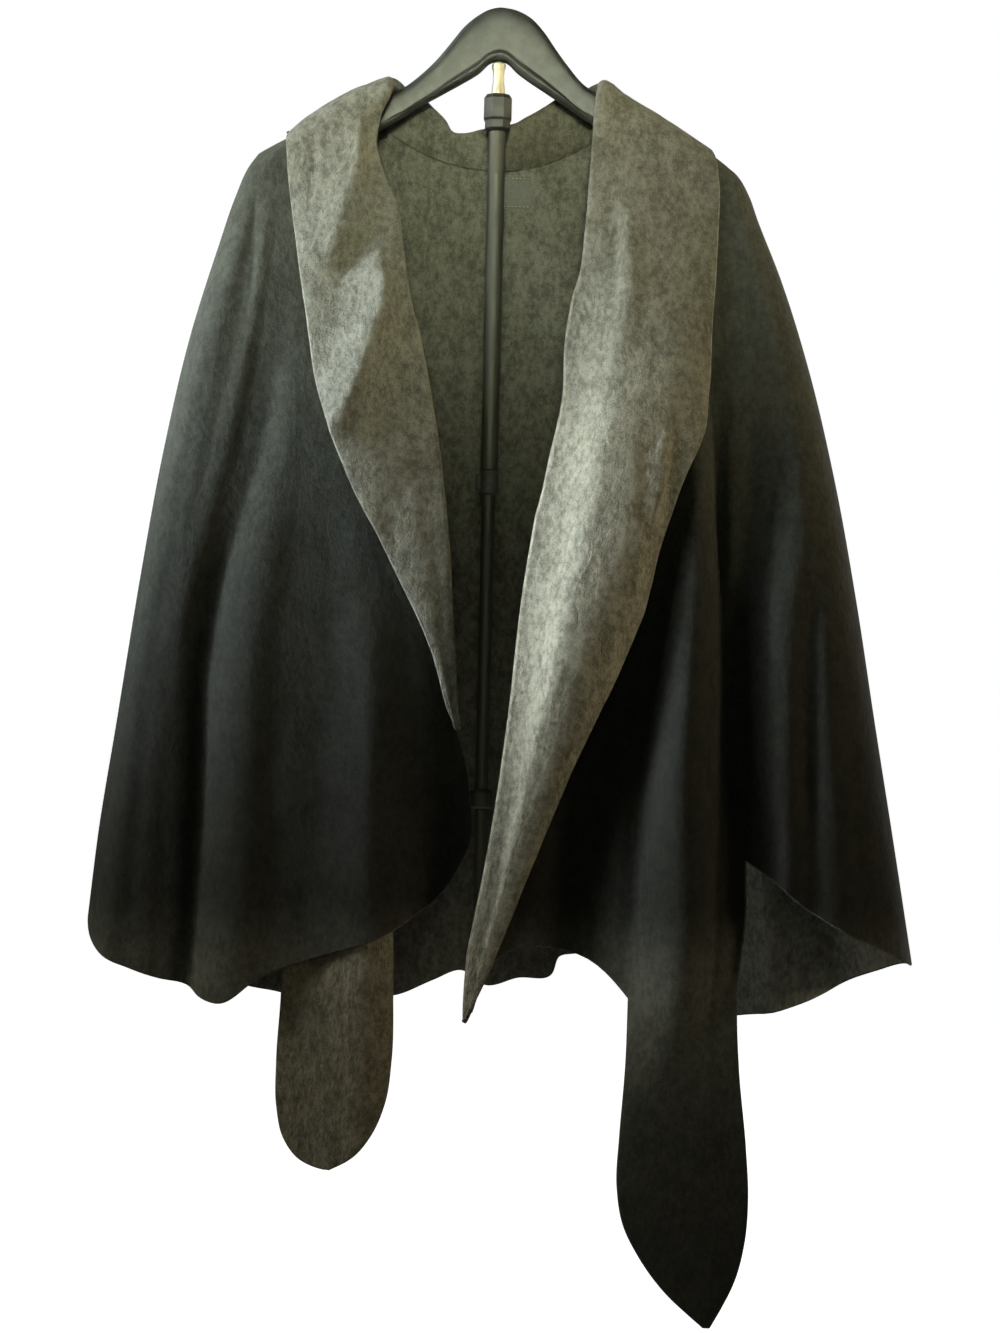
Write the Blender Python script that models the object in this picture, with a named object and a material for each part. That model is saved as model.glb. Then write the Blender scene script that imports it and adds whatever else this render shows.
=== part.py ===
"""A shawl-collar poncho in double-faced wool, hung open on a hanger that stands on a telescoping pole.

+Z is up and +Y runs away from the front. The origin is the lower end of the pole, on its axis.
Right and left are the wearer's, so the right side has negative x. The tables are in millimetres.
"""

import math

import bmesh
import bpy
import numpy as np

MM = 0.001

# The cloth and the gaps between pieces
WALL = 2.5
SEAM_GAP = 0.3
COLLAR_LAP = 4.0
SHOULDER_RADIUS = 20.0
LABEL_SIZE = (27.0, 29.0)
LABEL_THICKNESS = 1.0
LABEL_PLACE = (19.0, 686.0)
LABEL_GAP = 0.6
LABEL_CELLS = 3

# Outlines of the cloth, (x, z)
RIGHT_SHOULDER = [(-110, 771), (-155, 745), (-200, 719), (-219, 709)]
LEFT_SHOULDER = [(105, 773), (155, 743), (205, 712), (214, 706)]
SHOULDER = RIGHT_SHOULDER[::-1] + [(-45, 808), (0, 822), (45, 808)] + LEFT_SHOULDER
RIGHT_SIDE = [
    (-219, 709), (-229, 693), (-239, 668), (-254, 620), (-277, 540),
    (-299, 435), (-318, 315), (-336, 185), (-350, 85), (-358, 5),
]
LEFT_SIDE = [
    (214, 706), (221, 699), (233, 679), (241, 658), (263, 605),
    (291, 522), (317, 422), (340, 310), (360, 197), (380, 87), (399, -21),
]
RIGHT_FRONT_EDGE = [
    (-110, 771), (-112, 751), (-115, 717), (-110, 680), (-101, 650), (-93, 616), (-84, 570),
    (-72, 517), (-58, 445), (-46, 355), (-37, 256), (-26, 195), (-14, 150), (-8, 110),
]
LEFT_FRONT_EDGE = [
    (105, 773), (103, 751), (101, 713), (99, 676), (97, 639), (93, 604), (85, 556),
    (80, 497), (67, 415), (53, 312), (37, 196), (19, 67), (-4, -66),
]
RIGHT_FRONT_HEM = [
    (-8, 110), (-9, 86), (-19, 61), (-34, 38), (-55, 20), (-81, 3), (-132, -15), (-190, -36),
    (-232, -61), (-246, -57), (-258, -47), (-284, -41), (-313, -32), (-338, -22), (-352, -9), (-358, 5),
]
LEFT_FRONT_HEM = [
    (-4, -66), (4, -42), (21, -14), (48, -5), (74, -8), (100, -17), (125, -37), (136, -50),
]
TAIL_ROOT = [(136, -50), (238, 75)]
LEFT_SIDE_HEM = [(238, 75), (252, 66), (292, 35), (334, 11), (368, -4), (386, -13), (399, -21)]
BACK_NECK = [
    (-110, 771), (-108, 761), (-103, 750), (-94, 740), (-78, 730), (-55, 720), (-28, 713), (0, 711),
    (28, 713), (54, 721), (76, 732), (91, 743), (99, 753), (103, 763), (105, 773),
]
BACK_HEM = [
    (-358, 5), (-357, -13), (-348, -29), (-317, -46), (-262, -61), (-200, -70), (-130, -77), (-76, -73),
    (-42, -56), (-15, -46), (8, -60), (38, -54), (70, -49), (78, -30), (93, -26), (117, -37), (146, -63),
    (193, -82), (245, -84), (296, -73), (332, -61), (362, -42), (380, -33), (399, -21),
]
LEFT_TAIL_INNER_EDGE = [
    (136, -50), (135, -102), (131, -170), (130, -217), (136, -249),
    (151, -278), (174, -308), (197, -329), (209, -339),
]
LEFT_TAIL_OUTER_EDGE = [
    (238, 75), (238, 24), (231, -50), (234, -109), (242, -180),
    (245, -224), (243, -262), (235, -297), (224, -321), (214, -339),
]
RIGHT_TAIL_OUTER_EDGE = [
    (-175, 45), (-173, -52), (-176, -115), (-175, -155),
    (-168, -184), (-154, -202), (-138, -209), (-133, -210),
]
RIGHT_TAIL_INNER_EDGE = [
    (-77, 45), (-74, -50), (-74, -110), (-79, -149),
    (-91, -178), (-108, -198), (-122, -207), (-128, -210),
]
RIGHT_COLLAR_EDGE = [
    (-190, 726), (-190, 709), (-186, 679), (-180, 645), (-173, 608), (-165, 567),
    (-151, 495), (-122, 410), (-81, 331), (-42, 252), (-26, 205),
]
LEFT_COLLAR_EDGE = [
    (194, 719), (199, 699), (201, 632), (198, 576), (193, 485), (175, 399),
    (150, 318), (122, 242), (83, 157), (46, 68), (20, 1), (4, -43), (0, -61),
]
COLLAR_BACK_DROP = 600.0

# How far each panel stands off the plane of the hanger, at each height
DEPTH_HEIGHTS = (-60, 0, 150, 300, 450, 600, 700, 770)
DEPTHS = {
    "front_right": {"z": DEPTH_HEIGHTS, "depth": (82, 78, 68, 60, 54, 46, 32, 22)},
    "front_left": {"z": DEPTH_HEIGHTS, "depth": (80, 78, 72, 66, 60, 48, 34, 22)},
    "back": {"z": DEPTH_HEIGHTS, "depth": (88, 84, 76, 68, 60, 53, 40, 24)},
}
# How far round the side each panel takes to reach that depth
SIDE_RADII = {"z": (-60, 150, 400, 700), "radius": (70, 60, 45, 22)}

# Folds: where the crest runs, (x, z) from its start down, its half width and rise at the start and
# low end. A fold comes to its first rise within this share of its length.
FOLD_ONSET = 0.125
FOLDS = {
    "front_right": [
        {"crest": [(-205, 670), (-217, 560), (-222, 480)], "half_width": (12, 16), "rise": (2, 4)},
        {
            "crest": [(-180, 600), (-205, 430), (-236, 220), (-240, -50)],
            "half_width": (16, 26), "rise": (1, 15),
        },
        {
            "crest": [(-214, 560), (-233, 400), (-262, 220), (-270, -40)],
            "half_width": (12, 20), "rise": (0, -14),
        },
        {"crest": [(-120, 420), (-100, 200), (-100, 0)], "half_width": (30, 60), "rise": (0, 10)},
        {"crest": [(-20, 330), (-2, 150), (-10, 40)], "half_width": (50, 75), "rise": (0, -24)},
    ],
    "front_left": [
        {
            "crest": [(192, 520), (182, 330), (176, 150), (184, -50)],
            "half_width": (20, 50), "rise": (4, 30),
        },
        {"crest": [(228, 440), (226, 250), (232, 80)], "half_width": (14, 20), "rise": (0, -12)},
        {"crest": [(276, 480), (262, 260), (264, 60)], "half_width": (18, 22), "rise": (2, 15)},
        {"crest": [(300, 400), (288, 260), (285, 60)], "half_width": (8, 12), "rise": (0, -7)},
        {"crest": [(318, 420), (306, 220), (318, 20)], "half_width": (14, 22), "rise": (0, 8)},
        {"crest": [(120, 380), (92, 150), (90, 0)], "half_width": (30, 45), "rise": (0, -14)},
    ],
    "back": [
        {"crest": [(-160, 560), (-215, 250), (-250, -60)], "half_width": (26, 46), "rise": (2, 20)},
        {"crest": [(-110, 420), (-140, 200), (-160, -70)], "half_width": (22, 36), "rise": (0, -14)},
        {"crest": [(-45, 500), (-70, 250), (-90, -70)], "half_width": (26, 44), "rise": (0, 18)},
        {"crest": [(30, 440), (38, 200), (40, -50)], "half_width": (24, 38), "rise": (0, 16)},
        {"crest": [(75, 420), (95, 200), (105, -20)], "half_width": (22, 34), "rise": (0, -14)},
        {"crest": [(130, 540), (175, 250), (200, -80)], "half_width": (26, 46), "rise": (2, 20)},
        {"crest": [(205, 470), (260, 230), (290, -70)], "half_width": (24, 38), "rise": (0, -12)},
        {"crest": [(230, 500), (300, 240), (340, -50)], "half_width": (18, 30), "rise": (0, 12)},
    ],
}

# Where the cloth's grid has its rows and columns, as shares of a panel's length and of each
# stretch of its hem
ROWS = (0, 0.004, 0.01, 0.02, 0.034, 0.055, 0.085, 0.125, 0.175, 0.235, 0.30, 0.37,
        0.44, 0.51, 0.58, 0.65, 0.72, 0.79, 0.84, 0.885, 0.93, 0.967, 1)
RIGHT_COLLAR_END = 0.885
TOWARDS_SIDE = (0, 0.12, 0.24, 0.35, 0.45, 0.55, 0.65, 0.74, 0.82, 0.89, 0.945, 0.982, 1)
RIGHT_FRONT_COLUMNS = (0, 0.06, 0.12, 0.18, 0.24, 0.30, 0.36, 0.42, 0.48, 0.54, 0.60, 0.65, 0.69,
                       0.73, 0.77, 0.81, 0.85, 0.89, 0.93, 0.965, 0.988, 1)
BACK_SHOULDER_COLUMNS = (0, 0.03, 0.09, 0.19, 0.31, 0.45, 0.60, 0.75, 0.88, 1)
BACK_NECK_COLUMNS = (0, 0.01, 0.03, 0.06, 0.10, 0.15, 0.21, 0.30, 0.42, 0.56, 0.71, 0.86, 1)
BACK_HEM_COLUMNS = (0, 0.012, 0.035, 0.065, 0.10, 0.14, 0.18, 0.21, 0.24, 0.262, 0.282, 0.302,
                    0.322, 0.342, 0.362, 0.382, 0.402, 0.422, 0.442, 0.461, 0.48, 0.5)
HEM_BEFORE_TAIL_CELLS = 7
LEFT_TAIL_CELLS = (8, 12)
RIGHT_TAIL_CELLS = (7, 14)

# The left tail: its depth in front of the hanger's plane at its root and tip, how far it is crowned
# across, and the share of its length in which it settles to that form
LEFT_TAIL_DEPTH = (92.0, 86.0)
LEFT_TAIL_CROWN = 8.0
LEFT_TAIL_SETTLING = 0.4

# The right tail: the height that it is sewn at, how far it lies inside the front there and how much
# further back its tip hangs, and how far it is crowned across
RIGHT_TAIL_TOP = 45.0
RIGHT_TAIL_INSET = 1.5
RIGHT_TAIL_SWING = 8.0
RIGHT_TAIL_CROWN = 20.0
COLLAR_STEPS = (0.09, 0.22, 0.36, 0.50, 0.64, 0.78, 0.90, 1.0)
COLLAR_ROLL_ANGLES = (-90, -45, 0, 45, 90)

# The collar, by share of its length: -1 at its low end in front, 0 at the shoulder, 1 at the back's
# middle. It stands this high above the panel's edge, and its free part puffs this far off the panel.
COLLAR_STAND = {
    "share": (-1.0, -0.10, -0.04, 0.0, 0.12, 0.30, 0.55, 1.0),
    "stand": (0.6, 0.6, 3, 9, 15, 24, 29, 33),
}
COLLAR_PUFF = {"share": (-1.0, -0.85, -0.4, -0.1, 0.0, 0.3, 1.0), "puff": (0.3, 1.5, 5, 9, 10, 9, 7)}
COLLAR_CLEARANCE = {
    "share": (-1.0, -0.1, 0.0, 0.3, 0.5, 1.0),
    "clearance": (1.4, 1.8, 2.6, 2.6, 1.8, 1.6),
}
ROLL_GAP = {"share": (-1.0, -0.1, -0.05, 0.0, 0.3, 0.5, 1.0), "gap": (0.5, 0.5, 0.8, 1.0, 1.0, 0.6, 0.5)}
ROLL_SWELL = {"share": (-1.0, -0.9, -0.1, 0.0, 0.3, 1.0), "swell": (0.0, 0.5, 0.7, 1.6, 1.6, 1.0)}
COLLAR_BACK_TURN = 1.5
COLLAR_PUFF_START = 0.1
COLLAR_PUFF_POWER = 0.8
NORMAL_STEP = 4.0

# Hanger stations: x, upper edge, lower edge, thickness
HANGER = [
    (-211, 707, 701, 8), (-208, 711.3, 696, 12), (-200, 715.7, 692, 14), (-170, 731, 704, 14),
    (-140, 745.5, 718, 13), (-112, 759.5, 731, 12), (-84, 774.5, 748, 12), (-70, 786, 757.5, 12),
    (-58, 798, 764, 12), (-45, 814, 771.5, 12), (-32, 830.5, 779, 12), (-18, 842, 788, 12),
    (-6, 847.5, 798.4, 12), (0, 848.5, 799.5, 12), (6, 848, 798.4, 12), (17, 845.5, 789, 12),
    (29, 839, 780.5, 12), (41, 826.5, 773, 12), (52, 811, 766, 12), (63, 796.5, 759, 12),
    (78, 779.5, 749, 12), (106, 763.2, 734, 12), (134, 747.6, 719, 13), (164, 731, 704, 14),
    (196, 713.4, 690, 14), (204, 707.7, 692, 12), (207, 704, 698, 8),
]
HANGER_SIDES = 10
HANGER_ROUNDNESS = 0.5

# Pole stages, (radius, z) from the lower end of each
POLE = {
    "pole_lower": [(4.8, 0), (4.8, 111.7)],
    "pole_joint": [(8.5, 112), (10.5, 114), (10.5, 126), (8.5, 129)],
    "pole_middle": [(6.0, 129.3), (6.0, 400.7)],
    "pole_upper": [(7.8, 423.3), (7.8, 734.7)],
    "pole_tip": [
        (6.2, 768.3), (6.2, 773), (4.6, 776), (4.6, 788), (6.4, 792), (6.4, 795), (2.0, 798.8),
    ],
}
SOCKET = [(10.0, 735), (12.5, 737), (12.5, 744), (13.8, 746), (13.8, 764), (11.0, 768)]
SOCKET_SIDES = 8
CLAMP_RADIUS = 8.8
CLAMP_HEIGHTS = (401.0, 423.0)
CLAMP_LUG = (7.0, 9.0, 14.0)
ROUND_SIDES = 20

COLOURS = {
    "black_wool": ((0.012, 0.011, 0.008), 0.95, 0.0),
    "grey_wool": ((0.16, 0.155, 0.12), 0.95, 0.0),
    "hanger_plastic": ((0.03, 0.03, 0.028), 0.45, 0.0),
    "socket_plastic": ((0.02, 0.02, 0.018), 0.4, 0.0),
    "pole_metal": ((0.12, 0.115, 0.09), 0.35, 0.8),
    "brass": ((0.62, 0.5, 0.32), 0.25, 1.0),
    "label_cloth": ((0.05, 0.05, 0.045), 0.8, 0.0),
}


def between(table, at):
    """A table's second column, read at a value of its first."""
    first, second = table
    return np.interp(at, table[first], table[second])


class Line:
    """A smooth curve through a few points, or several of them end to end, read by share of length."""

    def __init__(self, *stretches):
        self.parts = []
        for points in stretches:
            points = np.array(points, float)
            steps = np.linalg.norm(np.diff(points, axis=0), axis=1)
            slopes = np.diff(points, axis=0) / steps[:, None]
            weights = steps[:-1] + steps[1:]
            inner = (slopes[:-1] * steps[1:, None] + slopes[1:] * steps[:-1, None]) / weights[:, None]
            tangents = np.vstack([slopes[:1], inner, slopes[-1:]])
            self.parts.append((points, steps, tangents))
        lengths = [steps.sum() for _, steps, _ in self.parts]
        self.starts = np.concatenate([[0], np.cumsum(lengths)])

    def share(self, part, along):
        """The share of the whole line at this share of one of its stretches."""
        start, end = self.starts[part : part + 2]
        return (start + (end - start) * along) / self.starts[-1]

    def at(self, share):
        reach = share * self.starts[-1]
        part = min(max(np.searchsorted(self.starts, reach - 1e-6) - 1, 0), len(self.parts) - 1)
        points, steps, tangents = self.parts[part]
        knots = np.concatenate([[0], np.cumsum(steps)])
        reach = min(max(reach - self.starts[part], 0), knots[-1])
        i = min(max(np.searchsorted(knots, reach) - 1, 0), len(steps) - 1)
        t = (reach - knots[i]) / steps[i]
        a, b = points[i], points[i + 1]
        m, n = tangents[i] * steps[i], tangents[i + 1] * steps[i]
        return (
            a * (2 * t**3 - 3 * t**2 + 1)
            + m * (t**3 - 2 * t**2 + t)
            + b * (3 * t**2 - 2 * t**3)
            + n * (t**3 - t**2)
        )


def patch(top, low, start, end, across, down, across_top=None):
    """A grid of (x, z), row by row, that fills the space between four outlines."""
    if across_top is None:
        across_top = across
    corners = [[top.at(0), top.at(1)], [low.at(0), low.at(1)]]
    grid = np.zeros((len(down), len(across), 2))
    for j, v in enumerate(down):
        for i, u in enumerate(across):
            ruled = (1 - v) * top.at(across_top[i]) + v * low.at(u)
            ruled += (1 - u) * start.at(v) + u * end.at(v)
            flat = (1 - v) * ((1 - u) * corners[0][0] + u * corners[0][1])
            flat += v * ((1 - u) * corners[1][0] + u * corners[1][1])
            grid[j, i] = ruled - flat
    return grid


def shoulder_height(x):
    xs, zs = zip(*SHOULDER)
    return np.interp(x, xs, zs)


def side_reach(x, z):
    """How far the side outline lies from the middle, on the side of this x."""
    xs, zs = zip(*(LEFT_SIDE if x > 0 else RIGHT_SIDE))
    return abs(np.interp(z, zs[::-1], xs[::-1]))


def rounded(distance, radius):
    """The share of full depth at this distance inside an edge that is rounded over."""
    return math.sqrt(1 - (1 - min(max(distance / radius, 0), 1)) ** 2)


def fold_rise(fold, x, z):
    xs, zs = zip(*fold["crest"])
    if z >= zs[0]:
        return 0.0
    along = min((zs[0] - z) / (zs[0] - zs[-1]), 1)
    crest = np.interp(z, zs[::-1], xs[::-1])
    half_width = fold["half_width"][0] + (fold["half_width"][1] - fold["half_width"][0]) * along
    rise = fold["rise"][0] * min(along / FOLD_ONSET, 1) + (fold["rise"][1] - fold["rise"][0]) * along
    off = abs(x - crest) / half_width
    return rise * 0.5 * (1 + math.cos(math.pi * off)) if off < 1 else 0.0


def stand_off(panel, x, z):
    """How far the panel's outer face lies from the plane of the hanger."""
    depth = between(DEPTHS[panel], z) + sum(fold_rise(fold, x, z) for fold in FOLDS[panel])
    from_side = rounded(side_reach(x, z) - abs(x), between(SIDE_RADII, z))
    return depth * from_side * rounded(shoulder_height(x) - z, SHOULDER_RADIUS)


def panel_points(panel, grid, seam_points):
    """The outer face of a panel, its seams a half gap off the plane of the hanger."""
    facing = 1 if panel == "back" else -1
    flat = [(x, facing * (stand_off(panel, x, z) + SEAM_GAP / 2), z) for x, z in grid.reshape(-1, 2)]
    points = np.array(flat)
    points[seam_points, 1] = facing * SEAM_GAP / 2
    return points.reshape(grid.shape[:2] + (3,))


def grid_faces(rows, columns, first=0):
    faces = []
    for j in range(rows - 1):
        for i in range(columns - 1):
            a = first + j * columns + i
            faces.append((a, a + columns, a + columns + 1, a + 1))
    return faces


def outward(points, faces, facing):
    """A unit normal at each point, turned to the side that the sheet faces in y."""
    normals = np.zeros(points.shape)
    for face in faces:
        corners = points[list(face)]
        normal = np.cross(corners[2] - corners[0], corners[3] - corners[1])
        normals[list(face)] += normal
    normals /= np.linalg.norm(normals, axis=1)[:, None]
    return normals if np.sign(normals[:, 1].sum()) == facing else -normals


def add_object(name, points, faces, material):
    """A closed mesh object, its faces turned outward, from points in millimetres."""
    mesh = bpy.data.meshes.new(name)
    body = bmesh.new()
    vertices = [body.verts.new(np.array(point) * MM) for point in points]
    for face in faces:
        body.faces.new([vertices[i] for i in face])
    bmesh.ops.recalc_face_normals(body, faces=body.faces)
    body.to_mesh(mesh)
    body.free()
    mesh.shade_smooth()
    mesh.set_sharp_from_angle(angle=math.radians(50))
    mesh.materials.append(MATERIALS[material])
    made = bpy.data.objects.new(name, mesh)
    bpy.context.scene.collection.objects.link(made)
    return made


def add_wall(name, outer, inner, faces, material):
    """A closed wall between two faces of the same grid, stitched along every free edge."""
    count = len(outer)
    edges = {}
    for face in faces:
        for a, b in zip(face, face[1:] + face[:1]):
            edges[(a, b)] = True
    rims = [(b, a, a + count, b + count) for a, b in edges if (b, a) not in edges]
    inside = [tuple(i + count for i in reversed(face)) for face in faces]
    return add_object(name, np.vstack([outer, inner]), list(faces) + inside + rims, material)


def add_panel(name, points, faces, seam_points, material="black_wool"):
    """A panel's wall. Points on a shoulder or side seam are set back within the seam's own plane."""
    facing = 1 if name == "back" else -1
    normals = outward(points, faces, facing)
    for i in seam_points:
        normals[i, 1] = 0
        normals[i] /= np.linalg.norm(normals[i])
    inner = points - normals * WALL
    add_wall(name, points, inner, faces, material)
    return normals


def columns_of(low, shares_by_part):
    """Grid columns from each stretch's own shares, without the doubled ends."""
    columns = [low.share(0, 0)]
    for part, shares in enumerate(shares_by_part):
        columns += [low.share(part, share) for share in shares[1:]]
    return columns


def seam_indices(rows, columns):
    """The points of a front panel's shoulder, its first row, and of its side, its last column."""
    return list(range(columns)) + [j * columns + columns - 1 for j in range(1, rows)]


def make_front_right():
    top, hem = Line(RIGHT_SHOULDER), Line(RIGHT_FRONT_HEM)
    grid = patch(top, hem, Line(RIGHT_FRONT_EDGE), Line(RIGHT_SIDE), RIGHT_FRONT_COLUMNS, ROWS)
    rows, columns = grid.shape[:2]
    seam = seam_indices(rows, columns)
    points = panel_points("front_right", grid, seam)
    normals = add_panel("front_right", points.reshape(-1, 3), grid_faces(rows, columns), seam)
    return points, normals.reshape(points.shape)


def left_tail_points(root):
    """The left front's tail: rows that run from the root line to the tip, softly crowned across."""
    inner_edge, outer_edge = Line(LEFT_TAIL_INNER_EDGE), Line(LEFT_TAIL_OUTER_EDGE)
    start, end = Line(TAIL_ROOT).at(0), Line(TAIL_ROOT).at(1)
    across = [np.linalg.norm(p[[0, 2]] - start) / np.linalg.norm(end - start) for p in root]
    rows = []
    for j in range(1, LEFT_TAIL_CELLS[1] + 1):
        t = j / LEFT_TAIL_CELLS[1]
        near, far = inner_edge.at(t), outer_edge.at(t)
        settled = min(t / LEFT_TAIL_SETTLING, 1)
        settled = settled * settled * (3 - 2 * settled)
        depth = LEFT_TAIL_DEPTH[0] + (LEFT_TAIL_DEPTH[1] - LEFT_TAIL_DEPTH[0]) * t
        row = []
        for s, above in zip(across, root):
            x, z = near + (far - near) * s
            hang = -depth - LEFT_TAIL_CROWN * (1 - t * t) * math.sin(math.pi * s)
            row.append((x, above[1] + (hang - above[1]) * settled, z))
        rows.append(row)
    return np.array(rows)


def make_front_left():
    hem = Line(LEFT_FRONT_HEM, TAIL_ROOT, LEFT_SIDE_HEM)
    before = [i / HEM_BEFORE_TAIL_CELLS for i in range(HEM_BEFORE_TAIL_CELLS + 1)]
    root_shares = [i / LEFT_TAIL_CELLS[0] for i in range(LEFT_TAIL_CELLS[0] + 1)]
    columns = columns_of(hem, [before, root_shares, TOWARDS_SIDE])
    grid = patch(Line(LEFT_SHOULDER), hem, Line(LEFT_FRONT_EDGE), Line(LEFT_SIDE), columns, ROWS)
    rows, wide = grid.shape[:2]
    seam = seam_indices(rows, wide)
    points = panel_points("front_left", grid, seam)
    faces = grid_faces(rows, wide)
    flat = points.reshape(-1, 3)
    root = [(rows - 1) * wide + HEM_BEFORE_TAIL_CELLS + i for i in range(len(root_shares))]
    tail = left_tail_points(flat[root])
    above = root
    for j in range(len(tail)):
        below = [len(flat) + j * len(root) + i for i in range(len(root))]
        for i in range(len(root) - 1):
            faces.append((above[i], below[i], below[i + 1], above[i + 1]))
        above = below
    normals = add_panel("front_left", np.vstack([flat, tail.reshape(-1, 3)]), faces, seam)
    return points, normals[: len(flat)].reshape(points.shape)


def make_back():
    top = Line(RIGHT_SHOULDER[::-1], BACK_NECK[:8], BACK_NECK[7:], LEFT_SHOULDER)
    mirrored_neck = [1 - share for share in reversed(BACK_NECK_COLUMNS)]
    mirrored_shoulder = [1 - share for share in reversed(BACK_SHOULDER_COLUMNS)]
    shares = columns_of(top, [BACK_SHOULDER_COLUMNS, BACK_NECK_COLUMNS, mirrored_neck, mirrored_shoulder])
    hem_shares = list(BACK_HEM_COLUMNS) + [1 - share for share in reversed(BACK_HEM_COLUMNS[:-1])]
    grid = patch(top, Line(BACK_HEM), Line(RIGHT_SIDE), Line(LEFT_SIDE), hem_shares, ROWS, shares)
    rows, columns = grid.shape[:2]
    neck = list(range(len(BACK_SHOULDER_COLUMNS) - 1, columns - len(BACK_SHOULDER_COLUMNS) + 1))
    seam = [i for i in range(columns) if i <= neck[0] or i >= neck[-1]]
    seam += [j * columns for j in range(1, rows)]
    seam += [j * columns + columns - 1 for j in range(1, rows)]
    points = panel_points("back", grid, seam)
    normals = add_panel("back", points.reshape(-1, 3), grid_faces(rows, columns), seam)
    return points, normals.reshape(points.shape), neck


def make_right_tail():
    """A grey strip, sewn at its top to the inside of the right front."""
    outer_edge, inner_edge = Line(RIGHT_TAIL_OUTER_EDGE), Line(RIGHT_TAIL_INNER_EDGE)
    columns, rows = (cells + 1 for cells in RIGHT_TAIL_CELLS)
    points = np.zeros((rows, columns, 3))
    for j, i in np.ndindex(rows, columns):
        t, s = j / (rows - 1), i / (columns - 1)
        near, far = outer_edge.at(t), inner_edge.at(t)
        x, z = near + (far - near) * s
        hung_from = stand_off("front_right", x, RIGHT_TAIL_TOP)
        inside = hung_from - WALL - RIGHT_TAIL_INSET - RIGHT_TAIL_SWING * t
        points[j, i] = (x, -inside - RIGHT_TAIL_CROWN * t * (1 - t) * math.sin(math.pi * s), z)
    flat = points.reshape(-1, 3)
    faces = grid_faces(rows, columns)
    inner = flat - outward(flat, faces, -1) * WALL
    add_wall("tail_right", flat, inner, faces, "grey_wool")


def make_label():
    """A bare patch that lies just inside the back, under the collar's seam."""
    width, height = LABEL_SIZE
    side = LABEL_CELLS + 1
    grid = np.zeros((side, side, 3))
    for j, i in np.ndindex(side, side):
        x = LABEL_PLACE[0] + width * (i / LABEL_CELLS - 0.5)
        z = LABEL_PLACE[1] + height * (0.5 - j / LABEL_CELLS)
        grid[j, i] = (x, stand_off("back", x, z) - WALL - LABEL_GAP, z)
    flat = grid.reshape(-1, 3)
    inner = flat - np.array((0, LABEL_THICKNESS, 0))
    add_wall("label", flat, inner, grid_faces(side, side), "label_cloth")


def wrap_of(x, z, facing):
    """Where a point of the outline lies round the shoulder: below zero in front, above it behind."""
    drop = max(shoulder_height(x) - z, 0)
    quarter = SHOULDER_RADIUS * math.pi / 2
    if drop < SHOULDER_RADIUS:
        return facing * SHOULDER_RADIUS * math.acos(1 - drop / SHOULDER_RADIUS)
    return facing * (quarter + drop - SHOULDER_RADIUS)


def wrapped_point(x, wrap, front):
    """The outer face of the cloth at a place round the shoulder."""
    quarter = SHOULDER_RADIUS * math.pi / 2
    reach = abs(wrap)
    if reach < quarter:
        drop = SHOULDER_RADIUS * (1 - math.cos(reach / SHOULDER_RADIUS))
    else:
        drop = SHOULDER_RADIUS + reach - quarter
    z = shoulder_height(x) - drop
    facing = 1 if wrap > 0 else -1
    return np.array((x, facing * stand_off("back" if wrap > 0 else front, x, z), z))


def wrapped_normal(x, wrap, front):
    step = NORMAL_STEP
    along = wrapped_point(x + step, wrap, front) - wrapped_point(x - step, wrap, front)
    round_it = wrapped_point(x, wrap + step, front) - wrapped_point(x, wrap - step, front)
    normal = np.cross(along, round_it)
    return normal / np.linalg.norm(normal)


def collar_edge(share, front_edge):
    """The collar's free edge: down the front for shares below zero, round the back above it."""
    if share <= 0:
        x, z = front_edge.at(-share)
        return x, wrap_of(x, z, -1)
    top = front_edge.at(0)
    turn = share**COLLAR_BACK_TURN * math.pi / 2
    x = top[0] * math.cos(turn)
    z = top[1] + (COLLAR_BACK_DROP - top[1]) * math.sin(turn)
    return x, wrap_of(x, z, 1)


def collar_roll(share, place, normal, off):
    """The collar's hook, stand and roll at a place on the panels' edge: its inner and outer face."""
    stand = between(COLLAR_STAND, share)
    swell, gap = between(ROLL_SWELL, share), between(ROLL_GAP, share)
    section = []
    for radius in (WALL / 2 + gap + swell, WALL * 1.5 + gap + swell):
        line = [place - off * COLLAR_LAP + normal * (swell - WALL / 2 - radius)]
        for angle in COLLAR_ROLL_ANGLES:
            turn = math.radians(angle)
            across, through = radius * math.cos(turn), radius * math.sin(turn)
            line.append(place + off * (stand + across) + normal * (swell - WALL / 2 + through))
        section.append(line)
    return section


def collar_fall(share, place, normal, front, free_edge):
    """The part of the collar that lies over the panel, from the roll to its free edge."""
    start = (place[0], wrap_of(place[0], place[2], -1 if share <= 0 else 1))
    end = collar_edge(share, free_edge)
    clearance, puff = between(COLLAR_CLEARANCE, share), between(COLLAR_PUFF, share)
    inner, outer = [], []
    for step in COLLAR_STEPS:
        x = start[0] + (end[0] - start[0]) * step
        wrap = start[1] + (end[1] - start[1]) * step
        point, away = wrapped_point(x, wrap, front), wrapped_normal(x, wrap, front)
        if np.dot(away, normal) < 0:
            away = -away
        puffed = math.sin(math.pi * min(step * (1 - COLLAR_PUFF_START) + COLLAR_PUFF_START, 1))
        lift = clearance + puff * puffed**COLLAR_PUFF_POWER
        inner.append(point + away * lift)
        outer.append(point + away * (lift + WALL))
    return inner, outer


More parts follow.
